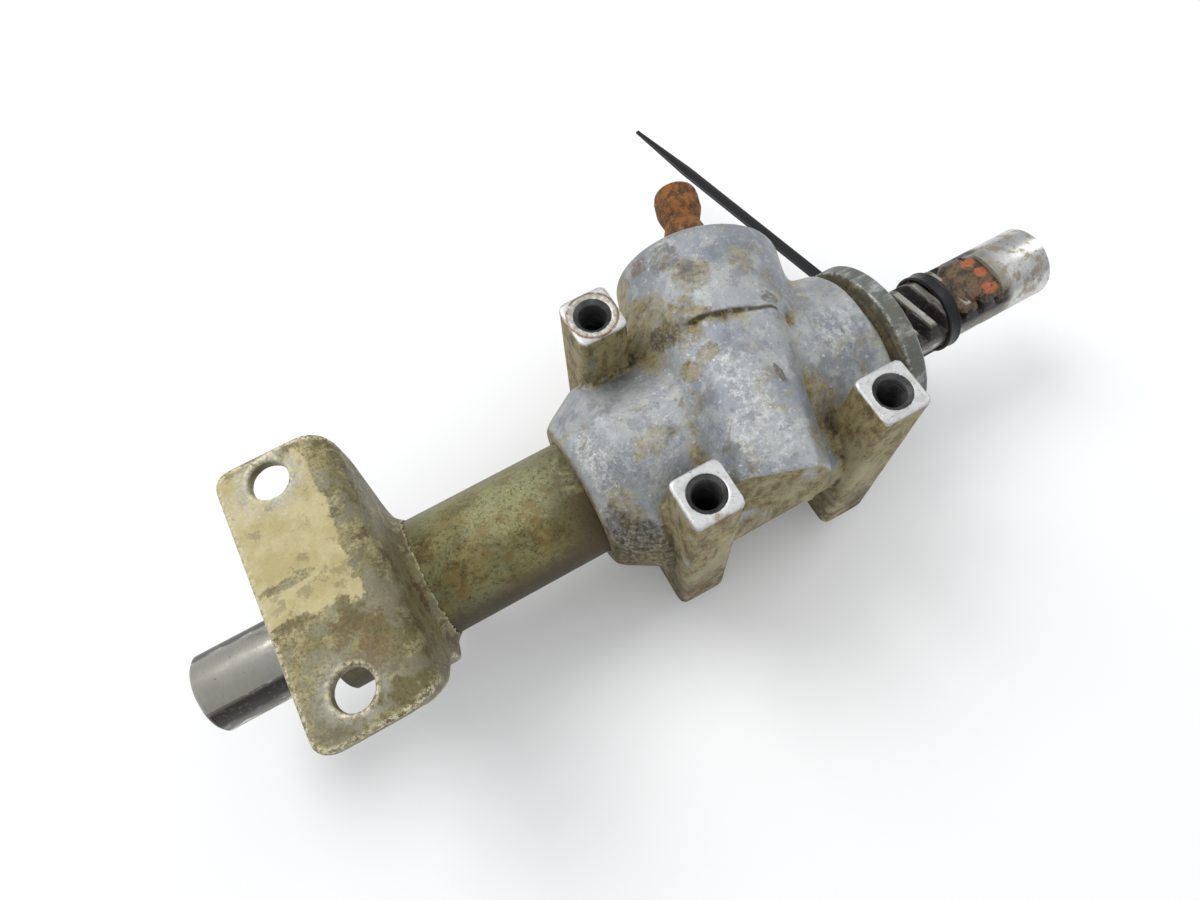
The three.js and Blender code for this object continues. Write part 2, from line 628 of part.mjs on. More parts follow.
// A snap ring with its open ends and lugs on one side.
function snapRing(inner, outer, [from, to], gapWidth) {
  const whole = ring(inner, outer, [from, to], 32);
  const gap = new THREE.BoxGeometry(gapWidth, 2 * outer, to - from + 2);
  gap.translate(0, -outer, (from + to) / 2);
  return whole.subtract(solid(gap));
}

function oilSeal() {
  return alongPinion(turned([
    [SHAFT_R + GAP, SEAL[0] + 2.2], [SHAFT_R + 2.4, SEAL[0] + 1], [SHAFT_R + 3.4, SEAL[0] + 4.6],
    [TOWER_BORE_R - GAP - 1.6, SEAL[0] + 4.6], [TOWER_BORE_R - GAP - 1.6, SEAL[0]],
    [TOWER_BORE_R - GAP, SEAL[0]], [TOWER_BORE_R - GAP, SEAL[1]], [SHAFT_R + 1.6, SEAL[1]],
    [SHAFT_R + GAP, SEAL[1] - 1.4], [SHAFT_R + 1.4, SEAL[0] + 4.2],
  ], 36));
}

function yoke() {
  const groove = YOKE_R - 1.9;
  const body = turned([
    [0, YOKE_BOTTOM], [YOKE_R - 0.8, YOKE_BOTTOM], [YOKE_R, YOKE_BOTTOM + 0.8],
    [YOKE_R, -19.4], [groove, -19.4], [groove, -16.2], [YOKE_R, -16.2],
    [YOKE_R, YOKE_TOP], [0, YOKE_TOP],
  ]);
  const saddle = alongRack(disc(RACK_R + GAP, [-20, 20], 40));
  const pocket = disc(SPRING_R + 0.5, [YOKE_BOTTOM - 1, SPRING_TOP + GAP], 24);
  return atYoke(body.subtract(union([saddle, pocket])));
}

function yokeORing() {
  const tube = new THREE.TorusGeometry(YOKE_R - 0.75, 0.85, 8, 32);
  tube.translate(0, 0, -17.8);
  return atYoke(solid(tube));
}

class Helix extends THREE.Curve {
  getPoint(t, target = new THREE.Vector3()) {
    const height = SPRING_TOP - PLUG_TOP - 2 - SPRING_WIRE;
    const angle = 2 * PI * 4 * t;
    const r = SPRING_R - SPRING_WIRE / 2;
    return target.set(r * cos(angle), r * sin(angle), PLUG_TOP - 1 + SPRING_WIRE + height * t);
  }
}

function yokeSpring() {
  const shape = new THREE.Shape();
  shape.absarc(0, 0, SPRING_WIRE / 2, 0, 2 * PI);
  const geometry = new THREE.ExtrudeGeometry(shape, {
    extrudePath: new Helix(), steps: 56, curveSegments: 2, bevelEnabled: false,
  });
  return atYoke(solid(geometry));
}

function hexagon(flats, centre = [0, 0]) {
  const r = flats / sqrt(3);
  const points = [];
  for (let i = 0; i < 6; i += 1) {
    points.push(new THREE.Vector2(centre[0] + r * cos((i * PI) / 3), centre[1] + r * sin((i * PI) / 3)));
  }
  return new THREE.Shape(points);
}

function adjusterPlug() {
  const body = turned([
    [0, PLUG_BOTTOM], [PLUG_THREAD_R - 1.2, PLUG_BOTTOM], [PLUG_THREAD_R, PLUG_BOTTOM + 1.2],
    [PLUG_THREAD_R, PLUG_TOP - 1], [PLUG_THREAD_R - 1, PLUG_TOP], [0, PLUG_TOP],
  ]);
  const seat = disc(SPRING_R + 0.6, [PLUG_TOP - 1.2, PLUG_TOP + 1], 24);
  const socket = extruded(hexagon(12), [PLUG_BOTTOM - 1, PLUG_BOTTOM + 8]);
  return atYoke(body.subtract(union([seat, socket])));
}

function lockNut() {
  const bottom = YOKE_BOSS_BOTTOM - GAP - LOCK_NUT_THICK;
  const blank = extruded(hexagon(LOCK_NUT_FLATS), [bottom, bottom + LOCK_NUT_THICK]);
  const crown = turned([
    [0, bottom], [LOCK_NUT_FLATS / 2 - 0.5, bottom], [LOCK_NUT_FLATS / 2 + 2.6, bottom + 1.6],
    [LOCK_NUT_FLATS / 2 + 2.6, bottom + LOCK_NUT_THICK + 1], [0, bottom + LOCK_NUT_THICK + 1],
  ]);
  const hole = disc(PLUG_THREAD_R + GAP, [bottom - 1, bottom + LOCK_NUT_THICK + 1]);
  return atYoke(blank.intersect(crown).subtract(hole));
}

function cableTie() {
  const band = alongRack(ring(TIE_BAND_R, TIE_BAND_R + TIE_THICK, TIE_X, 36));
  const head = new THREE.BoxGeometry(9, 7, 4.6);
  head.translate(0, 0, -TIE_BAND_R - TIE_THICK - 0.8);
  head.rotateX(radians(-26));
  head.translate((TIE_X[0] + TIE_X[1]) / 2 - 1, 0, 0);
  const root = new THREE.Vector3(...TIE_TAIL_ROOT);
  const tip = new THREE.Vector3(...TIE_TAIL_TIP);
  const length = root.distanceTo(tip);
  const w = TIE_TAIL_WIDTH / 2;
  const outline = new THREE.Shape([
    new THREE.Vector2(0, -w), new THREE.Vector2(length - 30, -w), new THREE.Vector2(length, -0.7),
    new THREE.Vector2(length, 0.7), new THREE.Vector2(length - 30, w), new THREE.Vector2(0, w),
  ]);
  const along = tip.clone().sub(root).normalize();
  const up = new THREE.Vector3(0, 0, 1);
  const side = up.clone().cross(along);
  const frame = new THREE.Matrix4().makeBasis(along, side, up).setPosition(root);
  const tail = moved(extruded(outline, [-TIE_THICK / 2, TIE_THICK / 2]), frame);
  const whole = union([band, solid(head), tail]);
  return whole.subtract(alongRack(disc(TIE_BAND_R, [TIE_X[0] - 20, TIE_X[1] + 20], 36)));
}

// ---- assembly ------------------------------------------------------------------------------

const gear = new THREE.Group();
gear.add(
  part('housing', housing(), CAST),
  part('rack_tube', rackTube(), ZINC),
  part('outer_bracket', outerBracket(), ZINC),
  part('rack_bar', rackBar(), GROUND_STEEL),
  part('rack_bush_outer', alongRack(ring(BUSH_BORE_R, BUSH_R, OUTER_BUSH, 40)), BRONZE),
  part('rack_bush_inner', alongRack(ring(BUSH_BORE_R, BUSH_R, INNER_BUSH, 40)), BRONZE),
  part('bush_retaining_ring',
    alongRack(snapRing(BUSH_R - 1.9, BUSH_R + 1.4, RETAINING_RING, 5)), SPRING_STEEL),
  part('pinion_shaft', pinionShaft(), RUSTY_STEEL),
  part('pinion_bearing_outer_race', bearingOuterRace(), BEARING_STEEL),
  part('pinion_bearing_inner_race', bearingInnerRace(), BEARING_STEEL),
  part('pinion_bearing_cage', bearingCage(), CAGE),
  part('pinion_lower_bush', alongPinion(ring(JOURNAL_R + GAP, LOWER_BUSH_R, LOWER_BUSH)), BRONZE),
  part('bearing_circlip',
    alongPinion(snapRing(TOWER_BORE_R - 2.2, TOWER_BORE_R + 1.1, CIRCLIP, 6)), SPRING_STEEL),
  part('shaft_circlip',
    alongPinion(snapRing(SHAFT_R - 0.5, SHAFT_R + 2, SHAFT_CIRCLIP, 5)), SPRING_STEEL),
  part('pinion_oil_seal', oilSeal(), NITRILE),
  part('yoke', yoke(), CAST),
  part('yoke_o_ring', yokeORing(), NITRILE),
  part('yoke_spring', yokeSpring(), SPRING_STEEL),
  part('yoke_adjuster_plug', adjusterPlug(), ZINC),
  part('yoke_lock_nut', lockNut(), ZINC),
  part('cable_tie', cableTie(), NYLON),
);

const box = new THREE.Box3().setFromObject(gear, true);
const centre = box.getCenter(new THREE.Vector3());
gear.position.set(-centre.x, -centre.y, -box.min.z);

export default gear;
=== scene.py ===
"""Looks of a manual rack-and-pinion steering gear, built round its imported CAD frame.

Lengths are in millimetres on the rack's own axes (X along the rack, Z square to the mounting pads,
origin on the rack axis) and point() turns them into the frame's metres.
"""

import math

import bmesh
import bpy
import numpy as np
from mathutils import Matrix, Vector, noise


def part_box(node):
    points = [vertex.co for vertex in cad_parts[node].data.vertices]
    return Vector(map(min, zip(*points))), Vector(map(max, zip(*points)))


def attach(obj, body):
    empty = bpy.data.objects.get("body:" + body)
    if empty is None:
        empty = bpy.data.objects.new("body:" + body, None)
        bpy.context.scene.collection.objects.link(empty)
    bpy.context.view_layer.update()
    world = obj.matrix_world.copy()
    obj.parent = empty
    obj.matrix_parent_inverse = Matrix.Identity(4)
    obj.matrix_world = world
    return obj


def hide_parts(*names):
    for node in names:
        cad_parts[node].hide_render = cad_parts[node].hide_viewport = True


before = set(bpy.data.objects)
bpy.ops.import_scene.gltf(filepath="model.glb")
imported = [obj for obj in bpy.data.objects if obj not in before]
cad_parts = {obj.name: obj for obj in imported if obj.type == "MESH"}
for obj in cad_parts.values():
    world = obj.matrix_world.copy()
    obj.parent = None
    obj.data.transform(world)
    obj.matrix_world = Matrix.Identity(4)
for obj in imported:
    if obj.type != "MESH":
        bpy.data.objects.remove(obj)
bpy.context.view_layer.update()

# ---- the rack's axes in the frame -------------------------------------------------------

RACK_LEFT = -150.4
RACK_RIGHT = 157.7
RACK_R = 12.5
RACK_LOW, RACK_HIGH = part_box("rack_bar")
ORIGIN = Vector((
    RACK_LOW.x - RACK_LEFT / 1000,
    (RACK_LOW.y + RACK_HIGH.y) / 2,
    RACK_LOW.z + RACK_R / 1000,
))

PINION_ANGLE = math.radians(19)
PINION_DIRECTION = Vector((math.sin(PINION_ANGLE), math.cos(PINION_ANGLE), 0))
PINION_CROSS = Vector((31, 0, 16))
PAD_Z = 46.8
PAD_CENTRES = ((0.8, 31.6), (0.7, -31.2), (60, -31.2))
PLATE_HOLES = ((-100, 31.2), (-100, -31.2))
PLATE_TOP = 46
TOOTH_SLANT = math.radians(12)
MODULE = 2.35
PINION_TEETH = 6
PRESSURE_ANGLE = math.radians(20)
PITCH_Z = PINION_CROSS.z - PINION_TEETH * MODULE / 2 / math.cos(PINION_ANGLE + TOOTH_SLANT)
ADDENDUM = 0.9 * MODULE
DEDENDUM = 1.2 * MODULE
LAST_GULLET_X = 132.2
GULLETS = 21


def point(x, y, z):
    """A place on the rack's axes, in millimetres, as a place in the frame."""
    return ORIGIN + Vector((x, y, z)) / 1000


# ---- camera, lights and floor -------------------------------------------------------------

CAMERA_EYE = (-47.93, -80.31, 238.75)
CAMERA_AIM = (-10.19, 11.46, 0)
CAMERA_UPWARD = Vector((0.4609, 0.8015, 0.3809))
CAMERA_LENS = 23.21
WORLD_HORIZON = 0.50
WORLD_ZENITH = 0.92
FLOOR_HALF = 3  # metres
LAMP_AIM = (0, 0, 0.03)
# Each lamp: name, place and size in metres, power in watts.
LAMPS = (
    ("overhead", (-0.30, 0.55, 0.95), 0.6, 5.2),
    ("right_fill", (0.9, 0.1, 0.7), 0.5, 1.1),
)


def add_camera():
    data = bpy.data.cameras.new("camera")
    data.lens = CAMERA_LENS
    data.sensor_width = 36
    data.clip_start = 0.01
    camera = bpy.data.objects.new("camera", data)
    eye = point(*CAMERA_EYE)
    back = (eye - point(*CAMERA_AIM)).normalized()
    right = CAMERA_UPWARD.cross(back).normalized()
    turn = Matrix((right, back.cross(right), back)).transposed().to_4x4()
    camera.matrix_world = Matrix.Translation(eye) @ turn
    bpy.context.scene.collection.objects.link(camera)
    bpy.context.scene.camera = camera


def add_area_light(name, place, size, power):
    data = bpy.data.lights.new(name, "AREA")
    data.shape = "DISK"
    data.size = size
    data.energy = power
    light = bpy.data.objects.new(name, data)
    light.location = place
    light.rotation_euler = (Vector(LAMP_AIM) - Vector(place)).to_track_quat("-Z", "Y").to_euler()
    bpy.context.scene.collection.objects.link(light)


def add_world():
    """A pale room: bright overhead, darker towards the horizon."""
    world = bpy.data.worlds.new("studio")
    world.use_nodes = True
    nodes, links = world.node_tree.nodes, world.node_tree.links
    direction = nodes.new("ShaderNodeTexCoord")
    split = nodes.new("ShaderNodeSeparateXYZ")
    height = nodes.new("ShaderNodeMapRange")
    height.inputs["From Min"].default_value = 0.0
    height.inputs["From Max"].default_value = 0.9
    height.inputs["To Min"].default_value = WORLD_HORIZON
    height.inputs["To Max"].default_value = WORLD_ZENITH
    links.new(direction.outputs["Generated"], split.inputs[0])
    links.new(split.outputs["Z"], height.inputs["Value"])
    links.new(height.outputs["Result"], nodes["Background"].inputs["Strength"])
    nodes["Background"].inputs["Color"].default_value = (0.97, 0.985, 1.0, 1)
    bpy.context.scene.world = world


def add_stage():
    bpy.context.scene.view_settings.view_transform = "Standard"
    add_world()
    for lamp in LAMPS:
        add_area_light(*lamp)
    half = FLOOR_HALF
    mesh = bpy.data.meshes.new("floor")
    corners = [(-half, -half, 0), (half, -half, 0), (half, half, 0), (-half, half, 0)]
    mesh.from_pydata(corners, [], [(0, 1, 2, 3)])
    floor = bpy.data.objects.new("floor", mesh)
    bpy.context.scene.collection.objects.link(floor)
    material = bpy.data.materials.new("floor_paper")
    material.use_nodes = True
    shader = material.node_tree.nodes["Principled BSDF"]
    shader.inputs["Base Color"].default_value = (0.94, 0.94, 0.94, 1)
    shader.inputs["Roughness"].default_value = 0.95
    mesh.materials.append(material)


# ---- shader building ---------------------------------------------------------------------


class Surface:
    """A material whose colour, roughness, metalness and bump are built up layer by layer."""

    def __init__(self, name, metallic=None):
        self.material = bpy.data.materials.new(name)
        self.material.use_nodes = True
        self.tree = self.material.node_tree
        self.shader = self.tree.nodes["Principled BSDF"]
        texture = self.tree.nodes.new("ShaderNodeTexCoord")
        scale = self.tree.nodes.new("ShaderNodeVectorMath")
        scale.operation = "MULTIPLY_ADD"
        scale.inputs[1].default_value = (1000, 1000, 1000)
        scale.inputs[2].default_value = tuple(-1000 * v for v in ORIGIN)
        self.tree.links.new(texture.outputs["Object"], scale.inputs[0])
        self.place = scale.outputs[0]  # millimetres on the rack's axes
        self.facing = texture.outputs["Normal"]
        if metallic is not None:
            self.shader.inputs["Metallic"].default_value = metallic

    def node(self, kind, **settings):
        made = self.tree.nodes.new(kind)
        for key, value in settings.items():
            setattr(made, key, value)
        return made

    def feed(self, socket, value):
        if isinstance(value, bpy.types.NodeSocket):
            self.tree.links.new(value, socket)
        elif isinstance(value, tuple) and len(value) == 3 and socket.type == "RGBA":
            socket.default_value = (*value, 1)
        else:
            socket.default_value = value

    def noise(self, size, detail, rough, stretch=(1, 1, 1), seed=0, warp=0):
        """Noise from 0 to 1 with features about size millimetres across."""
        mapping = self.node("ShaderNodeMapping")
        mapping.inputs["Scale"].default_value = tuple(s / size for s in stretch)
        mapping.inputs["Location"].default_value = (seed * 7.3, seed * 3.1, seed * 5.7)
        self.feed(mapping.inputs["Vector"], self.place)
        made = self.node("ShaderNodeTexNoise")
        made.inputs["Scale"].default_value = 1
        made.inputs["Detail"].default_value = detail
        made.inputs["Roughness"].default_value = rough
        made.inputs["Distortion"].default_value = warp
        self.feed(made.inputs["Vector"], mapping.outputs[0])
        return made.outputs["Fac"]

    def cells(self, size, seed=0):
        """Distance to the nearest of scattered points size millimetres apart, in cells."""
        mapping = self.node("ShaderNodeMapping")
        mapping.inputs["Scale"].default_value = (1 / size,) * 3
        mapping.inputs["Location"].default_value = (seed * 2.3, seed * 9.1, seed * 4.7)
        self.feed(mapping.inputs["Vector"], self.place)
        made = self.node("ShaderNodeTexVoronoi")
        made.inputs["Scale"].default_value = 1
        self.feed(made.inputs["Vector"], mapping.outputs[0])
        return made.outputs["Distance"]

    def math(self, operation, a, b=0.0, clamp=False):
        made = self.node("ShaderNodeMath", operation=operation, use_clamp=clamp)
        self.feed(made.inputs[0], a)
        self.feed(made.inputs[1], b)
        return made.outputs[0]

    def between(self, value, low, high):
        """0 where value is under low, 1 where it is over high; low may be the larger."""
        made = self.node("ShaderNodeMapRange", interpolation_type="SMOOTHSTEP")
        self.feed(made.inputs["Value"], value)
        made.inputs["From Min"].default_value = min(low, high)
        made.inputs["From Max"].default_value = max(low, high)
        made.inputs["To Min"].default_value = 0 if low < high else 1
        made.inputs["To Max"].default_value = 1 if low < high else 0
        return made.outputs["Result"]

    def times(self, *values):
        result = values[0]
        for value in values[1:]:
            result = self.math("MULTIPLY", result, value)
        return result

    def plus(self, a, b):
        return self.math("ADD", a, b, clamp=True)

    def axis(self, letter, vector=None):
        made = self.node("ShaderNodeSeparateXYZ")
        self.feed(made.inputs[0], self.place if vector is None else vector)
        return made.outputs[letter]

    def distance(self, centre, radii):
        """Distance from a place, with each axis divided by its radius."""
        offset = self.node("ShaderNodeVectorMath", operation="SUBTRACT")
        self.feed(offset.inputs[0], self.place)
        offset.inputs[1].default_value = centre
        scaled = self.node("ShaderNodeVectorMath", operation="DIVIDE")
        self.feed(scaled.inputs[0], offset.outputs[0])
        scaled.inputs[1].default_value = radii
        length = self.node("ShaderNodeVectorMath", operation="LENGTH")
        self.feed(length.inputs[0], scaled.outputs[0])
        return length.outputs["Value"]

    def spot(self, centre, radii, ragged, size, seed):
        """1 inside a ragged patch round centre, 0 outside."""
        wobble = self.math(
            "MULTIPLY", self.math("SUBTRACT", self.noise(size, 8, 0.65, seed=seed), 0.5),
            2 * ragged
        )
        return self.between(self.math("ADD", self.distance(centre, radii), wobble), 1.16, 0.84)

    def attribute(self, name):
        made = self.node("ShaderNodeAttribute", attribute_name=name)
        return made.outputs["Fac"]

    def mix(self, amount, a, b):
        made = self.node("ShaderNodeMix", data_type="RGBA")
        self.feed(made.inputs["Factor"], amount)
        self.feed(made.inputs[6], a)
        self.feed(made.inputs[7], b)
        return made.outputs[2]

    def blend(self, amount, a, b):
        made = self.node("ShaderNodeMix", data_type="FLOAT")
        self.feed(made.inputs["Factor"], amount)
        self.feed(made.inputs[2], a)
        self.feed(made.inputs[3], b)
        return made.outputs[0]

    def bump(self, height, depth, below=None):
        """Bump with depth millimetres between height 0 and 1."""
        made = self.node("ShaderNodeBump")
        made.inputs["Strength"].default_value = 1.0
        made.inputs["Distance"].default_value = depth / 1000
        self.feed(made.inputs["Height"], height)
        if below is not None:
            self.feed(made.inputs["Normal"], below)
        return made.outputs["Normal"]

    def finish(self, colour=None, roughness=None, metallic=None, normal=None):
        for key, value in (("Base Color", colour), ("Roughness", roughness),
                           ("Metallic", metallic), ("Normal", normal)):
            if value is not None:
                self.feed(self.shader.inputs[key], value)
        return self.material


# ---- materials ---------------------------------------------------------------------------


def pinion_station(s):
    """How far along the pinion axis a point lies, in millimetres."""
    offset = s.node("ShaderNodeVectorMath", operation="SUBTRACT")
    s.feed(offset.inputs[0], s.place)
    offset.inputs[1].default_value = PINION_CROSS
    along = s.node("ShaderNodeVectorMath", operation="DOT_PRODUCT")
    s.feed(along.inputs[0], offset.outputs[0])
    along.inputs[1].default_value = PINION_DIRECTION
    return along.outputs["Value"]


# Worn bare patches that also serve as painted highlights, tan oxide, and dark dirt with painted
# shadow on the housing: centre, radii, strength.
BARE_AND_HIGHLIGHT_PATCHES = (
    ((-18, -3, 27), (4, 13, 9), 1.0), ((29, -6, 42), (6, 11, 4), 0.8),
    ((25, -22, 42), (8, 10, 4), 0.7),
    ((67, 0, 29), (7, 9, 5), 0.75), ((24, 6, 41), (8, 6, 4), 0.35), ((-4, -10, 31), (7, 9, 5), 0.4),
)
TAN_PATCHES = (
    ((26, 7, 41), (3.5, 3, 4), 0.8), ((19, 6, 37), (3, 3.5, 4), 0.8),
    ((-1, -6, 32), (7, 4, 5), 0.7),
    ((-16, -17, 22), (5, 9, 8), 0.8), ((25, 20, 39), (7, 8, 8), 0.7),
    ((51, -20, 26), (6, 14, 12), 0.85),
    ((50, 28, 42), (4, 6, 4), 0.7), ((17, 27, 30), (12, 12, 12), 0.95),
    ((40, -30, 38), (5, 4, 5), 0.7),
    ((34, 32, 43), (6, 6, 4), 0.6),
)
DIRT_AND_SHADOW_PATCHES = (
    ((-17, -27, 6), (12, 12, 16), 0.95), ((-19, -22, 17), (6, 8, 8), 0.7),
    ((19, 21, 35), (5.5, 4, 5), 0.85),
    ((31, 42, 40), (4.5, 5, 5), 0.6), ((34, 33, 43), (3, 5, 4), 0.5),
    ((39, -9, 42), (1.0, 3.2, 2.5), 0.8),
    ((52, 14, 41), (4, 2.5, 4), 0.7), ((52, -18, 18), (4, 10, 9), 0.5),
    ((15.5, -24, 38), (2.0, 7, 8), 0.45),
)
RUST_PATCHES = (
    ((25, 47, 34), (3, 3, 4), 0.75), ((0.7, -39, 45.5), (2.6, 2.2, 2.0), 0.8),
    ((-1, -41, -22), (5, 4, 9), 0.6),
    ((32, 18, 43), (2, 1.2, 2), 0.7),
)


def patches(s, places, ragged, size, seed):
    """Ragged patches at the given places, joined into one mask."""
    mask = 0.0
    for index, (centre, radii, strength) in enumerate(places):
        patch = s.spot(centre, radii, ragged, size, seed + index)
        mask = s.plus(mask, s.times(patch, strength))
    broken = s.between(s.noise(1.5, 9, 0.8, seed=seed + 7), 0.40, 0.56)
    return s.times(mask, s.blend(0.72, 1.0, broken))


def cast_aluminium():
    """Sand-cast aluminium, blue-grey: tan oxide low down, dirt and painted shade in corners and low
    down, bare rubbed spots, some of them painted highlights.
    """
    s = Surface("cast_aluminium")
    upward = s.axis("Z", s.facing)
    cavity = s.attribute("cavity")
    edge = s.attribute("edge")
    machined = s.attribute("machined")
    cloud = s.noise(20, 5, 0.55, seed=1)
    blotch = s.noise(7, 11, 0.66, seed=2, warp=0.4)
    grain = s.noise(0.9, 7, 0.75, seed=3)
    speck = s.noise(1.7, 5, 0.65, seed=4)
    crumbs = s.noise(2.6, 12, 0.72, stretch=(1, 1, 0.45), seed=7)

    colour = s.mix(s.between(cloud, 0.36, 0.64), (0.235, 0.255, 0.285), (0.37, 0.385, 0.39))
    colour = s.mix(s.times(s.between(blotch, 0.48, 0.60), 0.6), colour, (0.45, 0.455, 0.44))
    colour = s.mix(s.times(s.between(grain, 0.52, 0.68), 0.5), colour, (0.19, 0.195, 0.195))
    colour = s.mix(s.times(s.between(speck, 0.60, 0.68), 0.7), colour, (0.60, 0.60, 0.57))
    colour = s.mix(
        s.times(s.between(s.noise(8, 9, 0.7, seed=24), 0.54, 0.60), 0.5), colour,
        (0.17, 0.185, 0.215)
    )

    tan_patch = s.times(s.between(s.noise(9, 12, 0.7, seed=5, warp=0.8), 0.56, 0.60), 0.45)
    side = s.between(upward, 0.60, 0.10)
    tan_side = s.times(
        side, s.between(s.noise(11, 9, 0.62, stretch=(1, 1, 0.35), seed=6), 0.28, 0.42)
    )
    tan = s.plus(tan_patch, tan_side)
    tan = s.plus(tan, patches(s, TAN_PATCHES, 1.0, 4, 30))
    tan = s.plus(tan, s.times(s.between(cavity, 0.10, 0.45), s.between(blotch, 0.36, 0.52)))
    tan_colour = s.mix(s.between(crumbs, 0.36, 0.62), (0.125, 0.092, 0.034), (0.33, 0.275, 0.135))
    tan_colour = s.mix(
        s.times(s.between(s.noise(13, 9, 0.66, stretch=(1, 1, 0.5), seed=25), 0.48, 0.60), 0.7),
        tan_colour, (0.37, 0.335, 0.205)
    )
    tan_colour = s.mix(s.times(s.between(grain, 0.55, 0.66), 0.6), tan_colour, (0.07, 0.055, 0.022))
    colour = s.mix(tan, colour, tan_colour)

    # Dirt and painted shade: darker in hollows, in the dark patches, low down, along the tower's
    # ledge and in the flange groove.
    dirt_and_shade = s.times(
        s.between(cavity, 0.40, 0.90), s.between(s.noise(5, 10, 0.7, seed=8), 0.40, 0.58)
    )
    dirt_and_shade = s.plus(dirt_and_shade, patches(s, DIRT_AND_SHADOW_PATCHES, 1.1, 3.5, 50))
    # Painted shade: darker towards the bottom, near the floor.
    low = s.times(s.between(s.axis("Z"), 6, -22), s.between(blotch, 0.38, 0.54))
    dirt_and_shade = s.plus(dirt_and_shade, s.times(low, 0.75))
    station = pinion_station(s)
    ledge = s.times(
        s.between(station, 14.9, 15.7), s.between(station, 17.0, 16.2),
        s.between(s.axis("Z"), 38.5, 40)
    )
    dirt_and_shade = s.plus(
        dirt_and_shade, s.times(ledge, s.between(s.noise(3.5, 9, 0.7, seed=26), 0.36, 0.52), 0.95)
    )
    x = s.axis("X")
    groove = s.times(s.between(x, 80.2, 80.9), s.between(x, 83.8, 83.1))
    dirt_and_shade = s.plus(dirt_and_shade, groove)
    dirt_and_shade_colour = s.mix(
        s.between(crumbs, 0.40, 0.62), (0.034, 0.024, 0.010), (0.105, 0.080, 0.034)
    )
    colour = s.mix(dirt_and_shade, colour, dirt_and_shade_colour)
    flange = s.times(
        s.between(x, 82.6, 83.4),
        s.between(s.noise(6, 10, 0.7, stretch=(0.4, 1, 1), seed=27), 0.32, 0.50)
    )
    colour = s.mix(s.times(flange, 0.85), colour, (0.092, 0.094, 0.074))

    rust = patches(s, RUST_PATCHES, 1.1, 2.5, 70)
    colour = s.mix(s.times(rust, s.between(crumbs, 0.34, 0.52)), colour, (0.155, 0.072, 0.026))

    # Rubbed bare edges and bare patches, light grey; the bare patches on the barrel tops are also
    # painted highlights.
    wear_and_highlight = s.times(
        s.between(edge, 0.30, 0.85), s.between(s.noise(2.2, 10, 0.74, seed=10), 0.45, 0.56), 0.8
    )
    flakes = s.between(s.noise(1.8, 10, 0.78, seed=28), 0.48, 0.55)
    wear_and_highlight = s.plus(wear_and_highlight, s.times(patches(s, BARE_AND_HIGHLIGHT_PATCHES, 0.9, 5, 90), flakes, 0.75))
    colour = s.mix(s.times(wear_and_highlight, 0.85), colour, (0.66, 0.66, 0.64))

    pad = s.mix(
        s.between(s.noise(1.1, 8, 0.78, seed=15), 0.56, 0.64), (0.60, 0.60, 0.60),
        (0.24, 0.225, 0.19)
    )
    pad = s.mix(
        s.times(s.between(s.noise(3.2, 6, 0.6, seed=29), 0.5, 0.6), 0.4), pad, (0.40, 0.385, 0.35)
    )
    pad = s.mix(s.times(rust, 0.9), pad, (0.22, 0.12, 0.05))
    washer = s.distance((*PAD_CENTRES[0], PAD_Z), (1, 1, 40))
    worn_ring = s.times(
        s.between(washer, 8.0, 7.5), s.between(s.noise(2.2, 9, 0.72, seed=16), 0.40, 0.54)
    )
    pad = s.mix(s.times(worn_ring, 0.75), pad, (0.27, 0.235, 0.15))
    rim = s.times(
        s.between(washer, 6.9, 7.4), s.between(washer, 8.1, 7.7),
        s.between(s.noise(2.4, 8, 0.7, seed=17), 0.42, 0.5)
    )
    pad = s.mix(s.times(rim, 0.85), pad, (0.20, 0.10, 0.035))
    colour = s.mix(machined, colour, pad)

    height = s.axis("Z")
    for px, py in PAD_CENTRES:
        from_hole = s.distance((px, py, 30), (1, 1, 1000))
        chamfer = s.times(s.between(from_hole, 6.0, 5.75), s.between(height, 46.75, 46.5))
        colour = s.mix(s.times(chamfer, 0.9), colour, (0.105, 0.105, 0.105))
        # Painted shade: the bore below the chamfer is painted near-black.
        in_bore = s.times(s.between(from_hole, 5.0, 4.7), s.between(height, 45.9, 45.2))
        colour = s.mix(in_bore, colour, (0.02, 0.02, 0.02))

    roughness = s.blend(s.plus(tan, dirt_and_shade), s.blend(wear_and_highlight, 0.46, 0.30), 0.72)
    roughness = s.blend(machined, roughness, 0.42)
    metallic = s.blend(s.plus(s.plus(tan, dirt_and_shade), rust), s.blend(machined, 0.55, 0.7), 0.05)
    relief = s.math("ADD", s.times(grain, 0.35), s.noise(3.2, 7, 0.62, seed=18))
    normal = s.bump(s.times(relief, s.math("SUBTRACT", 1.0, s.times(machined, 0.85))), 0.42)
    pits = s.between(s.cells(6.5, 19), 0.085, 0.03)
    normal = s.bump(s.math("SUBTRACT", 1.0, pits), 0.22, normal)
    return s.finish(colour, roughness, metallic, normal)


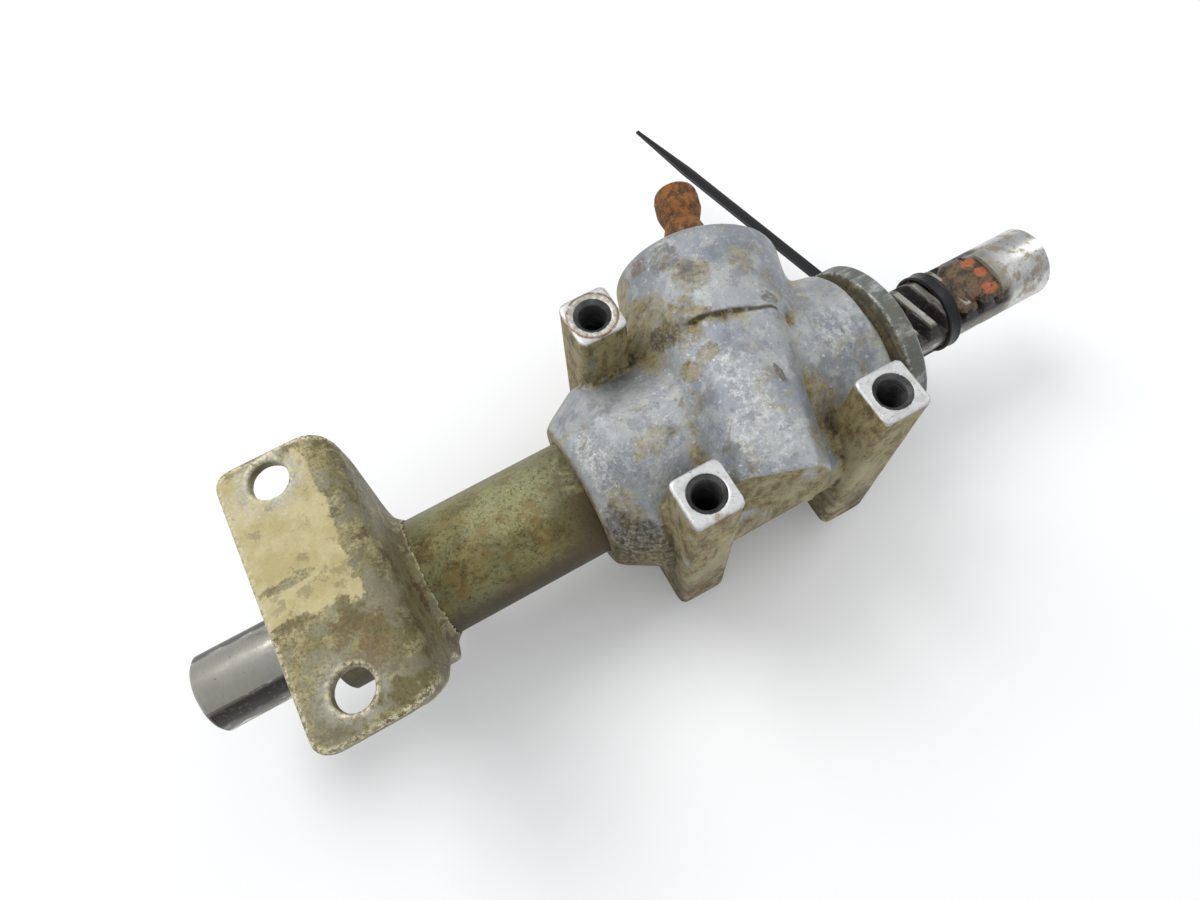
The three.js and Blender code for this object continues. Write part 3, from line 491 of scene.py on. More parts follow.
def worn_plate(s, colour, metallic, fine, mid):
    """Adds the bracket plate's pale field, hole marks, frosting and brown corner."""
    on_plate = s.between(s.axis("Z"), 44.6, 45.6)
    across = s.math("ABSOLUTE", s.math("ADD", s.axis("X"), 101.5))
    along = s.math("ADD", s.math("ADD", s.axis("Y"), -2.0), s.times(s.axis("X"), 0.12))
    across = s.math("DIVIDE", across, 13.0)
    along = s.math("DIVIDE", s.math("ABSOLUTE", along), 23.0)
    square = s.math("MAXIMUM", across, along)
    wobble = s.math("MULTIPLY", s.math("SUBTRACT", s.noise(6, 11, 0.72, seed=5), 0.5), 0.75)
    field = s.times(s.between(s.math("ADD", square, wobble), 1.03, 0.95), on_plate)
    scar = s.spot((-104, 1.5, PLATE_TOP), (8.5, 1.5, 6), 1.1, 3, 6)
    chips = s.between(s.noise(3.2, 10, 0.76, seed=12), 0.60, 0.635)
    field = s.times(field, s.math("SUBTRACT", 1.0, s.plus(s.times(scar, 0.9), s.times(chips, 0.7))))
    pale = s.mix(
        s.between(s.noise(9, 8, 0.66, seed=7), 0.40, 0.60), (0.42, 0.35, 0.155),
        (0.50, 0.43, 0.225)
    )
    pale = s.mix(s.spot((-101, -18, PLATE_TOP), (12, 7, 6), 0.6, 5, 8), pale, (0.48, 0.375, 0.135))
    colour = s.mix(s.times(field, 0.95), colour, pale)
    metallic = s.blend(field, metallic, 0.05)
    for x, y in PLATE_HOLES:
        near_hole = s.between(s.distance((x, y, PLATE_TOP), (1, 1, 4)), 11, 6.2)
        ring = s.times(near_hole, s.between(mid, 0.42, 0.55), on_plate)
        colour = s.mix(s.times(ring, 0.85), colour, (0.33, 0.32, 0.27))
    frost = s.times(
        s.spot((-102, 29, PLATE_TOP), (12, 8, 6), 1.0, 4, 13), s.between(fine, 0.50, 0.58),
        on_plate
    )
    colour = s.mix(s.times(frost, 0.8), colour, (0.52, 0.51, 0.46))
    brown = s.times(
        s.spot((-92, -22, PLATE_TOP), (8, 9, 6), 1.1, 4, 14), s.between(mid, 0.42, 0.52)
    )
    colour = s.mix(s.times(brown, 0.75), colour, (0.13, 0.085, 0.03))
    return colour, metallic


def yellow_zinc(name, patch):
    """Yellow zinc plate gone dull; patch adds the wear on the bracket's plate."""
    s = Surface(name)
    edge = s.attribute("edge")
    cavity = s.attribute("cavity")
    fine = s.noise(0.8, 8, 0.78, seed=1)
    mid = s.noise(5, 12, 0.7, seed=2, warp=0.5)
    large = s.noise(18, 6, 0.6, seed=3)
    colour = s.mix(s.between(large, 0.36, 0.62), (0.125, 0.105, 0.04), (0.27, 0.235, 0.11))
    colour = s.mix(s.times(s.between(mid, 0.48, 0.60), 0.75), colour, (0.36, 0.32, 0.17))
    colour = s.mix(s.times(s.between(fine, 0.48, 0.62), 0.65), colour, (0.085, 0.065, 0.024))
    grey = s.times(s.between(s.noise(11, 11, 0.68, seed=4, warp=0.8), 0.50, 0.56), 0.75)
    colour = s.mix(grey, colour, (0.20, 0.185, 0.125))
    metallic = s.blend(grey, 0.35, 0.5)
    if patch:
        colour, metallic = worn_plate(s, colour, metallic, fine, mid)
    stain_and_shade = s.times(s.between(s.noise(7, 11, 0.72, seed=9), 0.545, 0.60), 0.85)
    # Painted shade: darker in hollows and on faces turned down, added to the stains.
    stain_and_shade = s.plus(stain_and_shade, s.times(s.between(cavity, 0.20, 0.7), s.between(mid, 0.36, 0.50), 0.9))
    below = s.between(s.axis("Z", s.facing), 0.1, -0.5)
    stain_and_shade = s.plus(stain_and_shade, s.times(below, 0.7))
    if patch:
        flat = s.between(s.axis("Z", s.facing), 0.93, 0.99)
        stain_and_shade = s.times(stain_and_shade, s.math("SUBTRACT", 1.0, s.times(flat, 0.55)))
    colour = s.mix(stain_and_shade, colour, (0.085, 0.052, 0.016))
    worn = s.times(
        s.between(edge, 0.08, 0.45), s.between(s.noise(1.3, 10, 0.82, seed=10), 0.47, 0.54)
    )
    colour = s.mix(s.times(worn, 0.9), colour, (0.62, 0.56, 0.38))
    roughness = s.blend(worn, s.blend(s.between(fine, 0.4, 0.6), 0.42, 0.62), 0.3)
    metallic = s.blend(stain_and_shade, metallic, 0.05)
    relief = s.math("ADD", s.times(fine, 0.35), mid)
    return s.finish(colour, roughness, metallic, s.bump(relief, 0.3))


def tube_zinc():
    """The tube's zinc, olive and speckled, going brown-black towards the housing, with painted
    shade underneath and a painted highlight on top.
    """
    s = Surface("tube_zinc")
    upward = s.axis("Z", s.facing)
    away = s.axis("Y", s.facing)
    fine = s.noise(0.8, 9, 0.84, seed=1)
    mid = s.noise(6, 12, 0.74, seed=2, warp=0.6)
    large = s.noise(20, 7, 0.62, seed=3)
    colour = s.mix(s.between(mid, 0.40, 0.58), (0.105, 0.075, 0.018), (0.225, 0.20, 0.075))
    green = s.times(s.between(upward, 0.2, 0.75), s.between(large, 0.42, 0.60), 0.7)
    colour = s.mix(green, colour, (0.185, 0.205, 0.105))
    # Painted highlight: a bright spot on top of the tube.
    bright = s.times(s.spot((-42, 2, 19), (21, 9, 9), 1.0, 8, 4), s.between(fine, 0.38, 0.60))
    colour = s.mix(s.times(bright, 0.8), colour, (0.37, 0.37, 0.20))
    speck = s.between(s.noise(0.55, 6, 0.85, seed=5), 0.53, 0.63)
    colour = s.mix(s.times(speck, 0.6), colour, (0.34, 0.31, 0.14))
    dark = s.between(s.noise(1.3, 9, 0.84, seed=6), 0.52, 0.61)
    colour = s.mix(s.times(dark, 0.9), colour, (0.028, 0.020, 0.006))
    amber = s.times(s.between(s.noise(9, 10, 0.72, seed=7), 0.52, 0.60), 0.55)
    colour = s.mix(amber, colour, (0.19, 0.125, 0.035))
    # Painted shade: darker on faces turned down and underneath.
    facing_down = s.between(upward, 0.74, 0.22)
    shade = s.times(facing_down, s.between(s.math("ADD", mid, s.times(large, 0.5)), 0.50, 0.74))
    shade = s.plus(shade, s.between(upward, -0.1, -0.5))
    colour = s.mix(s.times(shade, 0.9), colour, (0.040, 0.027, 0.010))
    x = s.axis("X")
    end = s.times(
        s.between(x, -42, -24), s.between(s.math("ADD", mid, s.times(away, -0.15)), 0.34, 0.56)
    )
    colour = s.mix(s.times(end, 0.9), colour, (0.060, 0.038, 0.014))
    lit_edge = s.times(s.between(away, 0.30, 0.75), s.between(fine, 0.42, 0.55))
    colour = s.mix(s.times(lit_edge, 0.45), colour, (0.30, 0.29, 0.15))
    roughness = s.blend(shade, s.blend(s.between(fine, 0.4, 0.6), 0.38, 0.6), 0.6)
    relief = s.math("ADD", s.times(fine, 0.6), mid)
    return s.finish(colour, roughness, s.blend(shade, 0.4, 0.1), s.bump(relief, 0.34))


def rack_steel():
    """Ground steel, bright at its ends, with old oil and grease over the teeth."""
    s = Surface("rack_steel")
    x = s.axis("X")
    height = s.axis("Z")
    lay = s.noise(0.6, 5, 0.65, stretch=(2.5, 0.2, 0.2), seed=1)
    cloud = s.noise(9, 7, 0.62, seed=2)
    film = s.noise(5, 10, 0.72, stretch=(0.5, 1, 1), seed=3)
    colour = s.mix(s.between(cloud, 0.38, 0.62), (0.50, 0.50, 0.49), (0.66, 0.66, 0.65))
    colour = s.mix(s.times(s.between(lay, 0.42, 0.60), 0.35), colour, (0.33, 0.33, 0.32))
    toothed = s.between(x, 142, 137)
    cut = s.times(toothed, s.between(height, 2.0, 5.0))
    crest = s.between(height, 9.55, 9.8)
    oil = s.times(toothed, s.between(film, 0.40, 0.52))
    colour = s.mix(
        s.times(oil, s.math("SUBTRACT", 1.0, s.times(crest, 0.75)), 0.85), colour,
        (0.085, 0.062, 0.035)
    )
    gullet = s.times(cut, s.between(height, 9.6, 8.6))
    colour = s.mix(s.times(gullet, 0.97), colour, (0.014, 0.012, 0.010))
    flank = s.times(gullet, s.between(s.noise(1.6, 8, 0.7, seed=8), 0.56, 0.62), 0.5)
    colour = s.mix(flank, colour, (0.13, 0.125, 0.105))
    colour = s.mix(s.times(cut, crest, 0.75), colour, (0.24, 0.23, 0.185))
    end_stain = s.times(
        s.between(s.noise(5, 11, 0.74, seed=5), 0.52, 0.57), s.between(x, 128, 140), 0.75
    )
    colour = s.mix(end_stain, colour, (0.27, 0.215, 0.13))
    freckles = s.times(s.between(s.noise(1.4, 5, 0.65, seed=6), 0.645, 0.70), 0.85)
    colour = s.mix(freckles, colour, (0.10, 0.065, 0.035))
    dull = s.plus(s.plus(oil, gullet), end_stain)
    roughness = s.blend(dull, s.blend(lay, 0.20, 0.36), 0.40)
    metallic = s.blend(s.plus(s.times(oil, 0.7), gullet), s.blend(end_stain, 1.0, 0.6), 0.15)
    return s.finish(colour, roughness, metallic, s.bump(lay, 0.012))


def rusty_steel():
    """Rust on the stub that stands outside the tower, oiled steel on the shaft inside it."""
    s = Surface("rusty_steel")
    station = pinion_station(s)
    outside = s.between(station, 43, 46)
    broad = s.noise(4.5, 10, 0.7, seed=1, warp=0.5)
    fine = s.noise(1.0, 9, 0.78, seed=2)
    rust = s.mix(s.between(broad, 0.40, 0.60), (0.075, 0.026, 0.008), (0.27, 0.098, 0.018))
    rust = s.mix(s.times(s.between(fine, 0.48, 0.64), 0.55), rust, (0.36, 0.19, 0.055))
    rust = s.mix(
        s.times(s.between(s.noise(4.0, 10, 0.72, seed=3), 0.50, 0.60), 0.65), rust,
        (0.070, 0.046, 0.024)
    )
    rust = s.mix(
        s.times(s.between(s.noise(3.0, 10, 0.75, seed=4), 0.57, 0.62), 0.7), rust,
        (0.24, 0.20, 0.13)
    )
    oiled = s.mix(s.between(broad, 0.4, 0.6), (0.30, 0.29, 0.27), (0.20, 0.17, 0.12))
    colour = s.mix(outside, oiled, rust)
    relief = s.math("ADD", s.times(fine, 0.7), broad)
    return s.finish(
        colour, s.blend(outside, 0.3, 0.8), s.blend(outside, 0.9, 0.1), s.bump(relief, 0.5)
    )


def black_nylon():
    s = Surface("black_nylon", metallic=0.0)
    s.shader.inputs["Specular IOR Level"].default_value = 0.35
    scuff = s.noise(3, 7, 0.7, stretch=(1, 0.2, 1), seed=1)
    dust = s.between(s.noise(1.2, 6, 0.7, seed=2), 0.60, 0.72)
    colour = s.mix(s.times(dust, 0.4), (0.0045, 0.0045, 0.0055), (0.022, 0.021, 0.020))
    return s.finish(colour, s.blend(scuff, 0.28, 0.48), None, s.bump(scuff, 0.03))


# Fresh orange streaks in the old brown grease: centre and radii.
ORANGE_STREAKS = (
    ((131.5, 5, 9), (3.2, 2.6, 3)), ((133, 0, 10), (2.6, 2.2, 3)), ((132, -6, 9), (3.4, 2.4, 3))
)


def grease():
    s = Surface("old_grease", metallic=0.0)
    s.shader.inputs["Subsurface Weight"].default_value = 0.1
    s.shader.inputs["Subsurface Radius"].default_value = (0.002, 0.0008, 0.0004)
    broad = s.noise(4, 9, 0.66, seed=1, warp=0.6)
    fine = s.noise(1.1, 8, 0.72, seed=2)
    colour = s.mix(s.between(broad, 0.40, 0.58), (0.028, 0.016, 0.007), (0.145, 0.085, 0.032))
    for index, (centre, radii) in enumerate(ORANGE_STREAKS):
        streak = s.spot(centre, radii, 0.7, 3, 20 + index)
        colour = s.mix(s.times(streak, 0.9), colour, (0.42, 0.105, 0.036))
    colour = s.mix(s.times(s.between(fine, 0.54, 0.62), 0.7), colour, (0.030, 0.018, 0.008))
    return s.finish(
        colour, s.blend(broad, 0.16, 0.34), None, s.bump(s.math("ADD", fine, broad), 0.45)
    )


def plain_metal(name, dark, light, metallic, low, high, grain=1.5):
    """A clean inner piece: two tones, a fine lay and a little oil."""
    s = Surface(name, metallic=metallic)
    broad = s.noise(6, 6, 0.6, seed=1)
    fine = s.noise(grain, 5, 0.6, stretch=(1, 0.3, 1), seed=2)
    colour = s.mix(s.between(broad, 0.36, 0.64), dark, light)
    return s.finish(colour, s.blend(fine, low, high), None, s.bump(fine, 0.02))


def rubber():
    s = Surface("nitrile", metallic=0.0)
    dust = s.noise(2.2, 7, 0.7, seed=1)
    colour = s.mix(s.between(dust, 0.5, 0.7), (0.016, 0.016, 0.017), (0.06, 0.055, 0.045))
    return s.finish(colour, s.blend(dust, 0.55, 0.8), None, s.bump(dust, 0.05))


# ---- mesh building -----------------------------------------------------------------------

# Edge lengths of the even meshes, in millimetres.
HOUSING_VOXEL = 0.6
BRACKET_VOXEL = 0.55
PINION_VOXEL = 0.3
GREASE_VOXEL = 0.3


def add_object(name, mesh, material, body, node=None):
    piece = bpy.data.objects.new(name, mesh)
    bpy.context.scene.collection.objects.link(piece)
    mesh.materials.clear()
    mesh.materials.append(material)
    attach(piece, body)
    if node:
        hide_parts(node)
    return piece


def evaluated(piece):
    """The mesh of a temporary object with its modifiers applied; the object is removed."""
    bpy.context.view_layer.update()
    graph = bpy.context.evaluated_depsgraph_get()
    mesh = bpy.data.meshes.new_from_object(piece.evaluated_get(graph))
    bpy.data.objects.remove(piece)
    return mesh


def temporary(name, mesh):
    piece = bpy.data.objects.new(name, mesh)
    bpy.context.scene.collection.objects.link(piece)
    return piece


def vertex_array(mesh, source="vertices", key="co"):
    data = getattr(mesh, source)
    values = np.empty(len(data) * 3, np.float32)
    data.foreach_get(key, values)
    return values.reshape(-1, 3).astype(float)


class Relaxer:
    """Moves each vertex towards the mean of its neighbours."""

    def __init__(self, mesh):
        edges = np.empty(len(mesh.edges) * 2, np.int32)
        mesh.edges.foreach_get("vertices", edges)
        self.a, self.b = edges.reshape(-1, 2).T
        self.count = len(mesh.vertices)
        self.degree = np.bincount(self.a, minlength=self.count)
        self.degree += np.bincount(self.b, minlength=self.count)
        self.degree = np.maximum(self.degree, 1)

    def mean(self, values):
        total = np.bincount(self.a, values[self.b], self.count)
        total += np.bincount(self.b, values[self.a], self.count)
        return total / self.degree

    def mean_places(self, places):
        return np.stack([self.mean(places[:, k]) for k in range(3)], 1)


def softened(node, voxel, stages):
    """A CAD node as a fine even mesh with its sharp edges and inner corners rounded.

    Each stage is a number of rounds and a function that takes places on the rack's axes and gives
    how far each may move, from 0 to 1.
    """
    source = temporary("source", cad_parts[node].data.copy())
    target = temporary("target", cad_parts[node].data.copy())
    remesh = source.modifiers.new("even", "REMESH")
    remesh.mode = "VOXEL"
    remesh.voxel_size = voxel / 1000
    snap = source.modifiers.new("snap", "SHRINKWRAP")
    snap.target = target
    snap.wrap_method = "NEAREST_SURFACEPOINT"
    mesh = evaluated(source)
    bpy.data.objects.remove(target)
    relaxer = Relaxer(mesh)
    places = vertex_array(mesh)
    for rounds, weight_of in stages:
        weight = weight_of(1000 * (places - np.array(ORIGIN)))[:, None]
        for _ in range(rounds):
            places += 0.5 * weight * (relaxer.mean_places(places) - places)
    mesh.vertices.foreach_set("co", places.astype(np.float32).ravel())
    mesh.update()
    mesh.shade_smooth()
    mark_curvature(mesh, relaxer, places, voxel)
    return mesh


EDGE_ROUNDS, EDGE_GAIN = 3, 9
CAVITY_ROUNDS, CAVITY_GAIN = 14, 26


def mark_curvature(mesh, relaxer, places, voxel):
    """Stores how much each vertex stands on an outer edge and in an inner corner, as 0 to 1."""
    normals = vertex_array(mesh, "vertex_normals", "vector")
    bend = ((relaxer.mean_places(places) - places) * normals).sum(1) / (voxel / 1000)
    edge, cavity = -bend, bend.copy()
    for _ in range(EDGE_ROUNDS):
        edge = relaxer.mean(edge)
    for _ in range(CAVITY_ROUNDS):
        cavity = relaxer.mean(cavity)
    edge = np.clip(edge * EDGE_GAIN, 0, 1)
    cavity = np.clip(cavity * CAVITY_GAIN, 0, 1)
    for name, values in (("edge", edge), ("cavity", cavity)):
        layer = mesh.attributes.new(name, "FLOAT", "POINT")
        layer.data.foreach_set("value", values.astype(np.float32))


def ramp(values, low, high):
    t = np.clip((values - low) / (high - low), 0, 1)
    return t * t * (3 - 2 * t)


def along_and_off_pinion(places):
    offset = places - np.array(PINION_CROSS)
    along = offset @ np.array(PINION_DIRECTION)
    off = np.linalg.norm(offset - along[:, None] * np.array(PINION_DIRECTION), axis=1)
    return along, off


def kept_faces(places):
    """1 on the bores, pads, sockets and threads, which keep their machined shape."""
    x, y, z = places.T
    along, off_pinion = along_and_off_pinion(places)
    keep = 0.93 * ramp(z, PAD_Z - 4, PAD_Z - 2)
    keep = np.maximum(keep, 1 - ramp(np.hypot(y, z), 20.2, 21.5))
    keep = np.maximum(keep, (1 - ramp(off_pinion, 19.2, 20.5)) * ramp(along, 18, 21))
    off_yoke = np.hypot(x - PINION_CROSS.x, y)
    keep = np.maximum(keep, (1 - ramp(off_yoke, 13.6, 14.6)) * ramp(-z, 12, 14))
    for cx, cy in PAD_CENTRES:
        keep = np.maximum(keep, (1 - ramp(np.hypot(x - cx, y - cy), 5.8, 6.2)) * ramp(z, 18, 20))
    return keep


def rounding_weight(places):
    """Every cast edge is rounded, the ledge and the flange less than the rest."""
    x, _, z = places.T
    along, off_pinion = along_and_off_pinion(places)
    ledge = ramp(along, 13.5, 15) * (1 - ramp(along, 17.5, 19))
    ledge = ledge * ramp(z, 36, 38) * ramp(off_pinion, 22, 24)
    weight = (1 - kept_faces(places)) * (1 - 0.8 * ledge) * (1 - 0.72 * ramp(x, 79, 81))
    return np.clip(weight, 0, 1)


def blending_weight(places):
    """The ridge, the tower and the barrel flow into each other in wide fillets."""
    x, y, z = places.T
    along, off_pinion = along_and_off_pinion(places)
    across = (x - PINION_CROSS.x) * PINION_DIRECTION.y - y * PINION_DIRECTION.x
    weight = ramp(along, -32, -24) * (1 - ramp(along, 11, 14))
    weight = weight * ramp(z, 12, 18) * (1 - ramp(off_pinion, 34, 40))
    weight *= 1 - ramp(across, 9, 13) * (1 - ramp(along, -20, -8))
    pocket = (1 - ramp(np.hypot(x - 17, y - 26), 9, 14)) * ramp(z, 8, 14)
    pocket = pocket * (1 - ramp(across, -12, -8))
    notch = (1 - ramp(np.hypot(x - 66, y - 22), 10, 16)) * (1 - ramp(z, 36, 40))
    weight = np.maximum(weight, np.maximum(pocket, notch))
    for cx, cy in PAD_CENTRES:
        weight *= ramp(np.maximum(abs(x - cx), abs(y - cy)), 8.5, 11)
    return np.clip(weight * (1 - kept_faces(places)) * (1 - ramp(x, 78, 80)), 0, 1)


def housing_machined(places):
    x, y, z = places.T
    on_pad = ramp(z, PAD_Z - 0.45, PAD_Z - 0.2)
    on_end = ramp(x, 89.6, 90.0)
    in_bore = 1 - ramp(np.hypot(y, z), 20.1, 20.3)
    along, off_pinion = along_and_off_pinion(places)
    on_rim = ramp(along, 45.9, 46.2) * (1 - ramp(off_pinion, 26.5, 27.5))
    return np.clip(on_pad + on_end + in_bore + on_rim, 0, 1)


def make_housing():
    mesh = softened("housing", HOUSING_VOXEL, ((110, blending_weight), (11, rounding_weight)))
    places = 1000 * (vertex_array(mesh) - np.array(ORIGIN))
    layer = mesh.attributes.new("machined", "FLOAT", "POINT")
    layer.data.foreach_set("value", housing_machined(places).astype(np.float32))
    add_object(
        "housing_casting", mesh, cast_aluminium(), "housing_body", "housing"
    )


def make_bracket():
    def weight(places):
        _, y, z = places.T
        return 0.25 + 0.75 * ramp(np.hypot(y, z), 20.5, 22.5)

    def weld_weight(places):
        x, y, z = places.T
        return ramp(x, -80.8, -79.8) * ramp(np.hypot(y, z), 20, 21)

    mesh = softened("outer_bracket", BRACKET_VOXEL, ((45, weld_weight), (9, weight)))
    add_object(
        "bracket_plate", mesh, yellow_zinc("bracket_zinc", True), "housing_body",
        "outer_bracket"
    )


def lathe(name, profile, sides, along=Vector((1, 0, 0)), centre=Vector((0, 0, 0))):
    """A closed ring or bar from (radius, station) points, turned about a line."""
    turn = along.to_track_quat("Z", "Y").to_matrix()
    bm = bmesh.new()
    rings = []
    for radius, station in profile:
        ring = []
        for i in range(sides if radius > 0 else 1):
            angle = 2 * math.pi * i / sides
            local = Vector((radius * math.cos(angle), radius * math.sin(angle), station))
            ring.append(bm.verts.new(point(*(centre + turn @ local))))
        rings.append(ring)
    for lower, upper in zip(rings, rings[1:] + rings[:1]):
        if len(lower) == 1 and len(upper) == 1:
            continue
        for i in range(sides):
            j = (i + 1) % sides
            corners = [
                lower[i % len(lower)], lower[j % len(lower)], upper[j % len(upper)],
                upper[i % len(upper)]
            ]
            bm.faces.new(list(dict.fromkeys(corners)))
    bmesh.ops.recalc_face_normals(bm, faces=bm.faces)
    mesh = bpy.data.meshes.new(name)
    bm.to_mesh(mesh)
    bm.free()
    return mesh


SHARP_ANGLE = math.radians(35)


def smooth_by_angle(mesh):
    mesh.shade_smooth()
    mesh.set_sharp_from_angle(angle=SHARP_ANGLE)


def bevelled(mesh, width, segments=2):
    """The mesh with its sharp edges bevelled, width in millimetres."""
    piece = temporary("bevelled", mesh)
    bevel = piece.modifiers.new("bevel", "BEVEL")
    bevel.width = width / 1000
    bevel.segments = segments
    bevel.limit_method = "ANGLE"
    bevel.angle_limit = SHARP_ANGLE
    bevel.harden_normals = False
    made = evaluated(piece)
    smooth_by_angle(made)
    return made


TUBE_OUTER_R = 19.65
TUBE_BORE_R = 15.6
TUBE_LEFT, TUBE_RIGHT = -112, -2
TUBE_CHAMFER = 0.7


def make_tube():
    outer, bore, c = TUBE_OUTER_R, TUBE_BORE_R, TUBE_CHAMFER
    left, right = TUBE_LEFT, TUBE_RIGHT
    mesh = lathe("rack_tube", [
        (bore, left + c), (bore + c, left), (outer - c, left), (outer, left + c),
        (outer, right - c), (outer - c, right), (bore + c, right), (bore, right - c),
    ], 128)
    smooth_by_angle(mesh)
    add_object("tube_shell", mesh, tube_zinc(), "housing_body", "rack_tube")


GULLET_PLAY = 0.08  # added to each side so that the turning pinion clears the tooth tips
GULLET_FILLET = 0.3
GULLET_REACH = 16


def gullet_cutter(x):
    """A slanting bar with the section of one gullet, which crosses the rack's middle at x."""
    half = math.pi * MODULE / 4 + GULLET_PLAY
    slope = math.tan(PRESSURE_ANGLE)
    bottom_z = PITCH_Z - DEDENDUM
    top_z = RACK_R + 1
    bottom = half - (PITCH_Z - bottom_z) * slope
    top = half + (top_z - PITCH_Z) * slope
    fillet = GULLET_FILLET
    section = [
        (-top, top_z), (-bottom - fillet * slope, bottom_z + fillet),
        (-bottom + fillet, bottom_z), (bottom - fillet, bottom_z),
        (bottom + fillet * slope, bottom_z + fillet), (top, top_z),
    ]
    across = Vector((math.cos(TOOTH_SLANT), math.sin(TOOTH_SLANT), 0))
    line = Vector((math.sin(TOOTH_SLANT), -math.cos(TOOTH_SLANT), 0))
    bm = bmesh.new()
    ends = []
    for reach in (-GULLET_REACH, GULLET_REACH):
        places = [Vector((x, 0, z)) + s * across + reach * line for s, z in section]
        ends.append([bm.verts.new(point(*place)) for place in places])
    for i in range(len(section)):
        j = (i + 1) % len(section)
        bm.faces.new((ends[0][i], ends[0][j], ends[1][j], ends[1][i]))
    bm.faces.new(ends[0])
    bm.faces.new(ends[1])
    bmesh.ops.recalc_face_normals(bm, faces=bm.faces)
    mesh = bpy.data.meshes.new("gullet")
    bm.to_mesh(mesh)
    bm.free()
    return mesh


def joined(meshes):
    bm = bmesh.new()
    for mesh in meshes:
        bm.from_mesh(mesh)
    made = bpy.data.meshes.new("joined")
    bm.to_mesh(made)
    bm.free()
    return made


def cut_by(mesh, cutter_mesh):
    piece = temporary("body", mesh)
    cutter = temporary("cutter", cutter_mesh)
    boolean = piece.modifiers.new("cut", "BOOLEAN")
    boolean.operation = "DIFFERENCE"
    boolean.solver = "EXACT"
    boolean.object = cutter
    made = evaluated(piece)
    bpy.data.objects.remove(cutter)
    return made


RACK_CHAMFER = 1.0
END_THREAD_R = 5.1
END_THREAD_DEPTH = 22
END_THREAD_CONE = 3
RACK_BEVEL = 0.22


def make_rack():
    c, hole = RACK_CHAMFER, END_THREAD_R
    depth, apex = END_THREAD_DEPTH, END_THREAD_DEPTH + END_THREAD_CONE
    bar = lathe("rack", [
        (0, RACK_LEFT + apex), (hole, RACK_LEFT + depth), (hole, RACK_LEFT + 1),
        (hole + 1, RACK_LEFT),
        (RACK_R - c, RACK_LEFT), (RACK_R, RACK_LEFT + c), (RACK_R, RACK_RIGHT - c),
        (RACK_R - c, RACK_RIGHT), (hole + 1, RACK_RIGHT), (hole, RACK_RIGHT - 1),
        (hole, RACK_RIGHT - depth), (0, RACK_RIGHT - apex),
    ], 96)
    pitch = math.pi * MODULE / math.cos(TOOTH_SLANT)
    cutters = [gullet_cutter(LAST_GULLET_X - i * pitch) for i in range(GULLETS)]
    tip_z = PITCH_Z + ADDENDUM
    length = GULLETS * pitch
    flat = bpy.data.meshes.new("flat")
    bm = bmesh.new()
    bmesh.ops.create_cube(bm, size=1)
    for vertex in bm.verts:
        vertex.co = point(LAST_GULLET_X - length / 2 + pitch / 2 + vertex.co.x * length,
                          vertex.co.y * 2 * RACK_R, tip_z + 3 + vertex.co.z * 6)
    bm.to_mesh(flat)
    bm.free()
    mesh = cut_by(cut_by(bar, flat), joined(cutters))
    mesh = bevelled(mesh, RACK_BEVEL)
    add_object("rack_teeth_bar", mesh, rack_steel(), "rack", "rack_bar")


# Lumps of old grease over the last gullets: centre and radii.
GREASE_LUMPS = (
    ((123, -1, 8.0), (5.5, 9, 2.6)), ((129, 1, 8.6), (6, 9, 2.7)),
    ((134, -1, 8.9), (4.2, 8.5, 2.4)),
    ((127, 6, 8.2), (5, 4.5, 2.6)), ((119.5, 3, 7.2), (3, 8, 2.5)), ((131, -6, 8.4), (4.5, 4, 2.4)),
)


def make_grease():
    """Old grease lying in the last gullets and smeared over the teeth beside them."""
    bm = bmesh.new()
    for centre, radii in GREASE_LUMPS:
        made = bmesh.ops.create_icosphere(bm, subdivisions=5, radius=1)
        for vertex in made["verts"]:
            local = Vector(a * b for a, b in zip(vertex.co, radii))
            wave = noise.fractal((local + Vector(centre)) * 0.35, 0.8, 2.0, 5)
            spread = Vector(centre) + local * (1 + 0.16 * wave)
            reach = math.hypot(spread.y, spread.z)
            if reach > RACK_R + 0.5:
                spread.y *= (RACK_R + 0.5) / reach
                spread.z *= (RACK_R + 0.5) / reach
            vertex.co = point(*spread)
    mesh = bpy.data.meshes.new("grease")
    bm.to_mesh(mesh)
    bm.free()
    lumpy = temporary("grease", mesh)
    remesh = lumpy.modifiers.new("even", "REMESH")
    remesh.mode = "VOXEL"
    remesh.voxel_size = GREASE_VOXEL / 1000
    mesh = evaluated(lumpy)
    mesh.shade_smooth()
    add_object("rack_grease", mesh, grease(), "rack")


def make_pinion():
    def weight(places):
        along, _ = along_and_off_pinion(places)
        return ramp(along, 50, 54) * 0.8 + 0.12

    mesh = softened("pinion_shaft", PINION_VOXEL, ((5, weight),))
    add_object("pinion_steel", mesh, rusty_steel(), "pinion", "pinion_shaft")


TIE_LEFT, TIE_RIGHT = 112.6, 117.4
TIE_INNER = 12.8
TIE_THICK = 1.3
TIE_TAIL_ROOT = Vector((110.6, -7, -14.6))
TIE_TAIL_TIP = Vector((76.4, 137.6, -14.6))
TIE_TAIL_WIDTH = 4.6
TAIL_STEPS = 150
TAIL_TAPER = 30
TAIL_TIP_HALF = 0.7
TAIL_TOOTH = 0.18
TIE_HEAD = (8.8, 6.8, 4.2)
TIE_HEAD_TURN = math.radians(-26)


